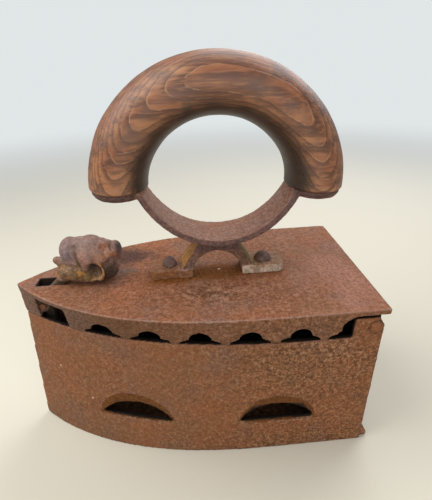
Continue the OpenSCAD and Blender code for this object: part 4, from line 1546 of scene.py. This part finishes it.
@dataclass
class Latch:
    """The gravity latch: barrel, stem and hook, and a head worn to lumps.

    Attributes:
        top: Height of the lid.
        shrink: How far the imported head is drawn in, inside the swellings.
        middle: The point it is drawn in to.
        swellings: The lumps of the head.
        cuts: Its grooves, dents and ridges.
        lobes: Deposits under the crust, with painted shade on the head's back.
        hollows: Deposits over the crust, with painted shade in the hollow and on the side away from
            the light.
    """

    top: float = LID_EDGE.height
    shrink: float = 0.8
    middle: Place = (-59.7, 0.0, 121.0)
    swellings: tuple[Swelling, ...] = (
        Swelling((-69.2, 0.5, 128.6), (6.3, 9.3, 7.8)),
        Swelling((-57.6, 0.5, 128.6), (8.8, 10.2, 8.0)),
        Swelling((-63.4, 0.3, 128.2), (8.4, 9.4, 8.0)),
        Swelling((-61.4, 0.0, 120.4), (13.2, 9.6, 8.6)),
        Swelling((-47.4, -1.0, 129.9), (4.2, 5.4, 4.2)),
        Swelling((-50.6, 0.0, 129.6), (4.4, 7.4, 5.0)),
        Swelling((-43.2, 0.8, 126.6), (4.1, 6.4, 5.8)),
        Swelling((-46.2, -5.2, 127.4), (3.5, 3.8, 3.2)),
        Swelling((-50.4, -7.4, 125.2), (3.9, 3.6, 3.3)),
        Swelling((-60.4, -7.4, 126.2), (5.0, 4.2, 5.6)),
        Swelling((-56.0, -7.6, 124.4), (4.6, 3.6, 5.0)),
        Swelling((-42.8, -5.0, 127.0), (1.9, 2.0, 2.0)),
        Swelling((-70.0, -4.0, 116.6), (8.4, 6.8, 4.8)),
        Swelling((-59.6, -6.0, 114.4), (9.2, 5.6, 4.6)),
        Swelling((-65.2, -4.8, 115.6), (9.4, 6.6, 5.0)),
        Swelling((-53.2, -5.6, 125.2), (7.0, 5.4, 7.6)),
        Swelling((-50.8, -8.4, 121.4), (1.7, 2.6, 1.9)),
        Swelling((-49.9, -8.8, 118.6), (1.7, 2.5, 2.2)),
        Swelling((-50.3, -9.0, 115.8), (1.8, 2.4, 2.2)),
        Swelling((-52.4, -8.8, 113.4), (2.8, 2.6, 2.0)),
        Swelling((-48.2, 0.5, 116.2), (6.4, 8.8, 7.2)),
        Swelling((-78.0, -0.5, 122.7), (2.7, 2.6, 2.5)),
        Swelling((-74.4, -0.8, 120.6), (4.4, 4.6, 4.2)),
        Swelling((-74.4, -1.8, 111.6), (5.6, 5.4, 3.0)),
        Swelling((-76.5, 0.0, 107.2), (2.3, 4.5, 2.8)),
    )
    cuts: tuple[Cut, ...] = (
        Cut(GROOVE, 1.2, 1.4),
        Cut(((-55.4, -10.8, 120.4), (-53.4, -10.4, 118.8)), 2.6, 3.2),
        Cut(HOOP, 1.3, -0.7),
        Cut(FOLD, 1.1, 0.9),
        Cut(((-40.8, -5.0, 123.0), (-46.5, -8.0, 121.6), (-49.8, -9.5, 122.0)), 1.3, 1.3),
        Cut(((-48.0, -9.0, 120.0), (-47.6, -9.0, 112.0)), 1.4, 1.0),
        Cut(((-76.5, -4.5, 120.4), (-70.5, -8.8, 121.8), (-64.5, -10.0, 120.8)), 1.2, 0.9),
        Cut(((-57.6, -10.0, 129.0), (-55.8, -11.2, 124.4)), 1.5, -0.6),
        Cut(((-44.6, -4.6, 131.6), (-44.4, -6.6, 127.6), (-45.0, -7.4, 124.6)), 0.9, 0.8),
    )
    lobes: tuple[Spot, ...] = (
        Spot(Tone.LOBE_GREY, 0.75, ((-69.2, -4.5, 129.5),), (7.0, 9.0, 7.5)),
        Spot(Tone.LOBE_PINK, 0.55, ((-57.6, -4.0, 132.5),), (8.5, 9.0, 6.0)),
        Spot(Tone.RIDGE_PINK, 0.75, ((-52.0, -10.5, 124.6), (-45.8, -8.0, 128.6)), 3.4),
        Spot(Tone.SIDE_PINK, 0.7, ((-60.4, -11.0, 128.6), (-59.4, -12.0, 122.6)), 3.4),
        Spot(Tone.GROOVE_BROWN, 0.85, GROOVE, 1.5),
        Spot(Tone.KNOB_ORANGE, 0.75, ((-47.0, -4.5, 133.0), (-49.6, -6.0, 131.4)), 1.8),
        Spot(Tone.FOLD_BROWN, 0.6, FOLD, 1.3),
        Spot(Tone.TIP_ORANGE, 0.85, ((-42.8, -6.6, 127.2),), (2.3, 2.4, 2.3)),
        # Painted shade on the head's back, away from the light.
        Spot(Tone.BACK_SHADE, 0.8, ((-40.4, -1.0, 129.6),), (2.6, 7.0, 4.6)),
    )
    hollows: tuple[Spot, ...] = (
        # Painted shade: dark brown over the head's side away from the light.
        Spot(Tone.SHADED_SIDE_BROWN, 0.92, ((-46.6, -5.0, 115.8),), (5.4, 9.5, 7.2)),
        # Painted shade: near black in the deep hollow at the head's front.
        Spot(Tone.HOLLOW_SHADE, 0.97, ((-54.2, -10.8, 119.8),), (3.4, 4.2, 3.0)),
        Spot(Tone.HOOP_ORANGE, 0.95, HOOP[:3], 1.4),
        Spot(Tone.HOOP_TAN, 0.8, HOOP[2:], 1.3),
        Spot(Tone.BEAD_RED, 0.5, ((-78.4, -1.5, 122.8),), (3.0, 4.0, 3.0)),
    )

    def build(self, nodes: dict) -> None:
        """Makes and dresses the latch."""
        shells = [one.shell(f"swelling_{n}") for n, one in enumerate(self.swellings)]
        piece = self.fuse(shells, nodes["latch"])
        points, normals = read_points(piece.data), read_normals(piece.data)
        crusty = stroke(points, CRUST, 4.4)
        depth = 0.8 * crusty * (0.5 + 0.5 * cloud(points, 1.9, 131, 2))
        for one in self.cuts:
            depth += one.depth * stroke(points, one.path, one.reach)
        write_points(piece.data, points - normals * depth[:, None])
        decay = Decay(waves=0.0, scale=0.14, pit=0.22, pit_cell=1.7, chip=0.15, seed=71)
        decay.eat(piece, 0.15 + 0.8 * crusty)
        self.paint(piece.data, points, crusty)
        finish = IronFinish("latch_rust", base=(0.220, 0.122, 0.100), warm=(0.262, 0.128, 0.088),
                            grey=(0.200, 0.132, 0.128), light=(0.42, 0.30, 0.25), rub=0.25,
                            relief=0.2, sheen=0.45)
        dress(piece, finish.material(), "latch", "latch_iron", "latch")

    def paint(self, mesh: Mesh, points: Array, crusty: Array) -> None:
        """Lays the head's deposits and painted shade: pink lobes, olive crust, painted shade in the
        hollow, on the head's back and on its side away from the light, and painted shade low down.

        Args:
            mesh: The latch's mesh.
            points: Its places before it was worn, shape (n, 3).
            crusty: Where the crust lies, shape (n,).
        """
        x, _, z = points.T
        patina_and_shade = PatinaAndShade(mesh)
        for spot in self.lobes:
            patina_and_shade.add(spot.weight(points), spot.tone)
        patina_and_shade.add(0.85 * crusty, Tone.CRUST_BROWN)
        patina_and_shade.add(0.7 * crusty * ramp(cloud(points, 2.0, 137, 2), 0.1, 0.5), Tone.CRUST_TAN)
        patina_and_shade.add(0.7 * crusty * ramp(cloud(points, 2.8, 151, 1), 0.45, 0.7), Tone.CRUST_ORANGE)
        patina_and_shade.add(0.6 * crusty * ramp(-cloud(points, 2.6, 139, 2), 0.15, 0.5), Tone.CRUST_DARK)
        for spot in self.hollows:
            patina_and_shade.add(spot.weight(points), spot.tone)
        # Painted shade under the head and along the latch's foot on the lid.
        neck = ramp(-z, -112.6, -110.6) * ramp(-x, 64.0, 70.0)
        stem = stroke(points, ((-84.5, -3.0, 106.4), (-79.0, -4.0, 113.4)), 2.3)
        patina_and_shade.add(0.9 * neck, Tone.NECK_SHADE)
        patina_and_shade.add(0.9 * ramp(-z, -self.top, 2.5 - self.top), Tone.HEEL_SHADE)
        patina_and_shade.add(0.9 * stem, Tone.STEM_RUST)
        patina_and_shade.store()

    def fuse(self, shells: list[Piece], node: Piece) -> Piece:
        """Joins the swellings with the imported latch, its head drawn in, into one evened skin.

        Args:
            shells: The swellings, which are used up.
            node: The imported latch.

        Returns:
            The fused piece.
        """
        old_head = node.data.copy()
        points = read_points(old_head)
        head = points[:, 2] > self.top + 0.2
        middle = np.array(self.middle)
        points[head] = middle + (points[head] - middle) * self.shrink
        write_points(old_head, points)
        parts = joined("latch_parts", [*take_data(shells), old_head])
        piece = even_skin("latch_casting", parts, 0.42)
        points = read_points(piece.data)
        soft = relaxed(piece.data, points, 14)
        head = ramp(points[:, 2], self.top + 0.5, self.top + 3.0)[:, None]
        write_points(piece.data, points + (soft - points) * head)
        return piece


# ---------------------------------------------------------------- studio


@dataclass
class Studio:
    """A plain pale floor, soft light and the camera.

    Attributes:
        focal: Distance from the lens to the picture, in parts of the picture's height.
        frame: Number of those parts in the picture's height.
        sensor: Size of the sensor along the picture's longer side, in millimetres.
        yaw: The camera's turn to the right of +Y, in degrees.
        pitch: Its tip downwards, in degrees.
        roll: Its small tilt, in degrees.
        eye: Its place, in millimetres.
        ground: Colour of the floor.
        surround: Colour of the surround as the camera sees it.
        sky: Colour of the surround's light.
    """

    focal: float = 402.146
    frame: float = 500.0
    sensor: float = 36.0
    yaw: float = 4.216
    pitch: float = 26.765
    roll: float = -2.069
    eye: Place = (1.381, -220.562, 233.398)
    ground: Colour = (0.63, 0.595, 0.50)
    surround: Colour = (0.75, 0.79, 0.80)
    sky: Colour = (0.93, 0.97, 1.0)

    def build(self) -> None:
        """Makes the floor, the light and the camera."""
        self.floor()
        self.world()
        self.lamp("key", (-420.0, -40.0, 640.0), 620.0, 4.6, (1.0, 0.985, 0.96))
        self.lamp("back", (320.0, 420.0, 600.0), 700.0, 4.0, (0.98, 0.98, 1.0))
        self.lamp("fill", (60.0, -640.0, 380.0), 700.0, 2.6, (1.0, 0.98, 0.95))
        self.camera()

    def floor(self) -> None:
        """A wide pale floor, a grid of squares in the plane of the sole."""
        steps = np.linspace(-4000.0, 4000.0, 9)
        x, y = np.meshgrid(steps, steps, indexing="ij")
        grid = np.stack([x, y, 0.0 * x - 0.05], axis=-1)
        piece = surface("floor", grid, around=False, ends=False)
        made = bpy.data.materials.new("floor_pale")
        g = blank(made)
        cloth = g.node("ShaderNodeBsdfPrincipled")
        cloth.inputs["Base Color"].default_value = (*self.ground, 1.0)
        cloth.inputs["Roughness"].default_value = 0.9
        cloth.inputs["Specular IOR Level"].default_value = 0.1
        seen = g.node("ShaderNodeLightPath").outputs["Is Camera Ray"]
        far = g.rise(g.vector("LENGTH", g.place()), 0.3, 1.3)
        glow = g.node("ShaderNodeEmission")
        glow.inputs["Color"].default_value = (*self.surround, 1.0)
        blend = g.node("ShaderNodeMixShader")
        g.join(g.times(seen, far), blend.inputs[0])
        g.join(cloth.outputs[0], blend.inputs[1])
        g.join(glow.outputs[0], blend.inputs[2])
        g.join(blend.outputs[0], g.node("ShaderNodeOutputMaterial").inputs["Surface"])
        piece.data.materials.append(made)

    def world(self) -> None:
        """An even pale surround, paler to the camera than as a light."""
        world = bpy.data.worlds.new("surround")
        bpy.context.scene.world = world
        g = blank(world)
        seen = g.node("ShaderNodeLightPath").outputs["Is Camera Ray"]
        lit, shown = g.node("ShaderNodeBackground"), g.node("ShaderNodeBackground")
        lit.inputs["Color"].default_value = (*self.sky, 1.0)
        lit.inputs["Strength"].default_value = 0.36
        shown.inputs["Color"].default_value = (*self.surround, 1.0)
        shown.inputs["Strength"].default_value = 1.0
        blend = g.node("ShaderNodeMixShader")
        g.join(seen, blend.inputs[0])
        g.join(lit.outputs[0], blend.inputs[1])
        g.join(shown.outputs[0], blend.inputs[2])
        g.join(blend.outputs[0], g.node("ShaderNodeOutputWorld").inputs["Surface"])

    @staticmethod
    def lamp(name: str, place: Sequence[float], size: float, power: float, colour: Colour) -> None:
        """A square soft lamp aimed at the iron's middle.

        Args:
            name: Name of the lamp.
            place: Where it hangs, in millimetres.
            size: Side of its square, in millimetres.
            power: Its power in watts.
            colour: Its colour.
        """
        data = bpy.data.lights.new(name, "AREA")
        data.size, data.energy, data.color = size * MM, power, colour
        lamp = bpy.data.objects.new(name, data)
        lamp.location = Vector(place) * MM
        aim = Vector((0.0, 0.0, 100.0)) * MM - lamp.location
        lamp.rotation_euler = aim.to_track_quat("-Z", "Y").to_euler()
        bpy.context.scene.collection.objects.link(lamp)

    def camera(self) -> None:
        """The camera, from its turn, its tip down and its small tilt."""
        yaw, pitch, roll = (math.radians(v) for v in (self.yaw, self.pitch, self.roll))
        level, down = math.cos(pitch), math.sin(pitch)
        ahead = Vector((math.sin(yaw) * level, math.cos(yaw) * level, -down))
        right = Vector((math.cos(yaw), -math.sin(yaw), 0.0))
        up = right.cross(ahead)
        across = right * math.cos(roll) + up * math.sin(roll)
        over = up * math.cos(roll) - right * math.sin(roll)
        data = bpy.data.cameras.new("camera")
        data.sensor_width = self.sensor
        data.lens = self.focal * self.sensor / self.frame
        data.clip_start, data.clip_end = 0.005, 50.0
        camera = bpy.data.objects.new("camera", data)
        turn = Matrix((across, over, -ahead)).transposed().to_4x4()
        camera.matrix_world = Matrix.Translation(Vector(self.eye) * MM) @ turn
        bpy.context.scene.collection.objects.link(camera)
        bpy.context.scene.camera = camera
        bpy.context.scene.view_settings.view_transform = "Standard"


def main() -> None:
    """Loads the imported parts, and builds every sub-assembly over them."""
    logging.basicConfig(level=logging.INFO, format="%(name)s %(message)s")
    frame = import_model()
    nodes = frame["nodes"]
    Studio().build()
    Effects()
    Tub().build(nodes)
    Lid().build(nodes)
    Bracket().build(nodes)
    Grip().build()
    Latch().build(nodes)


if __name__ == "__main__":
    main()
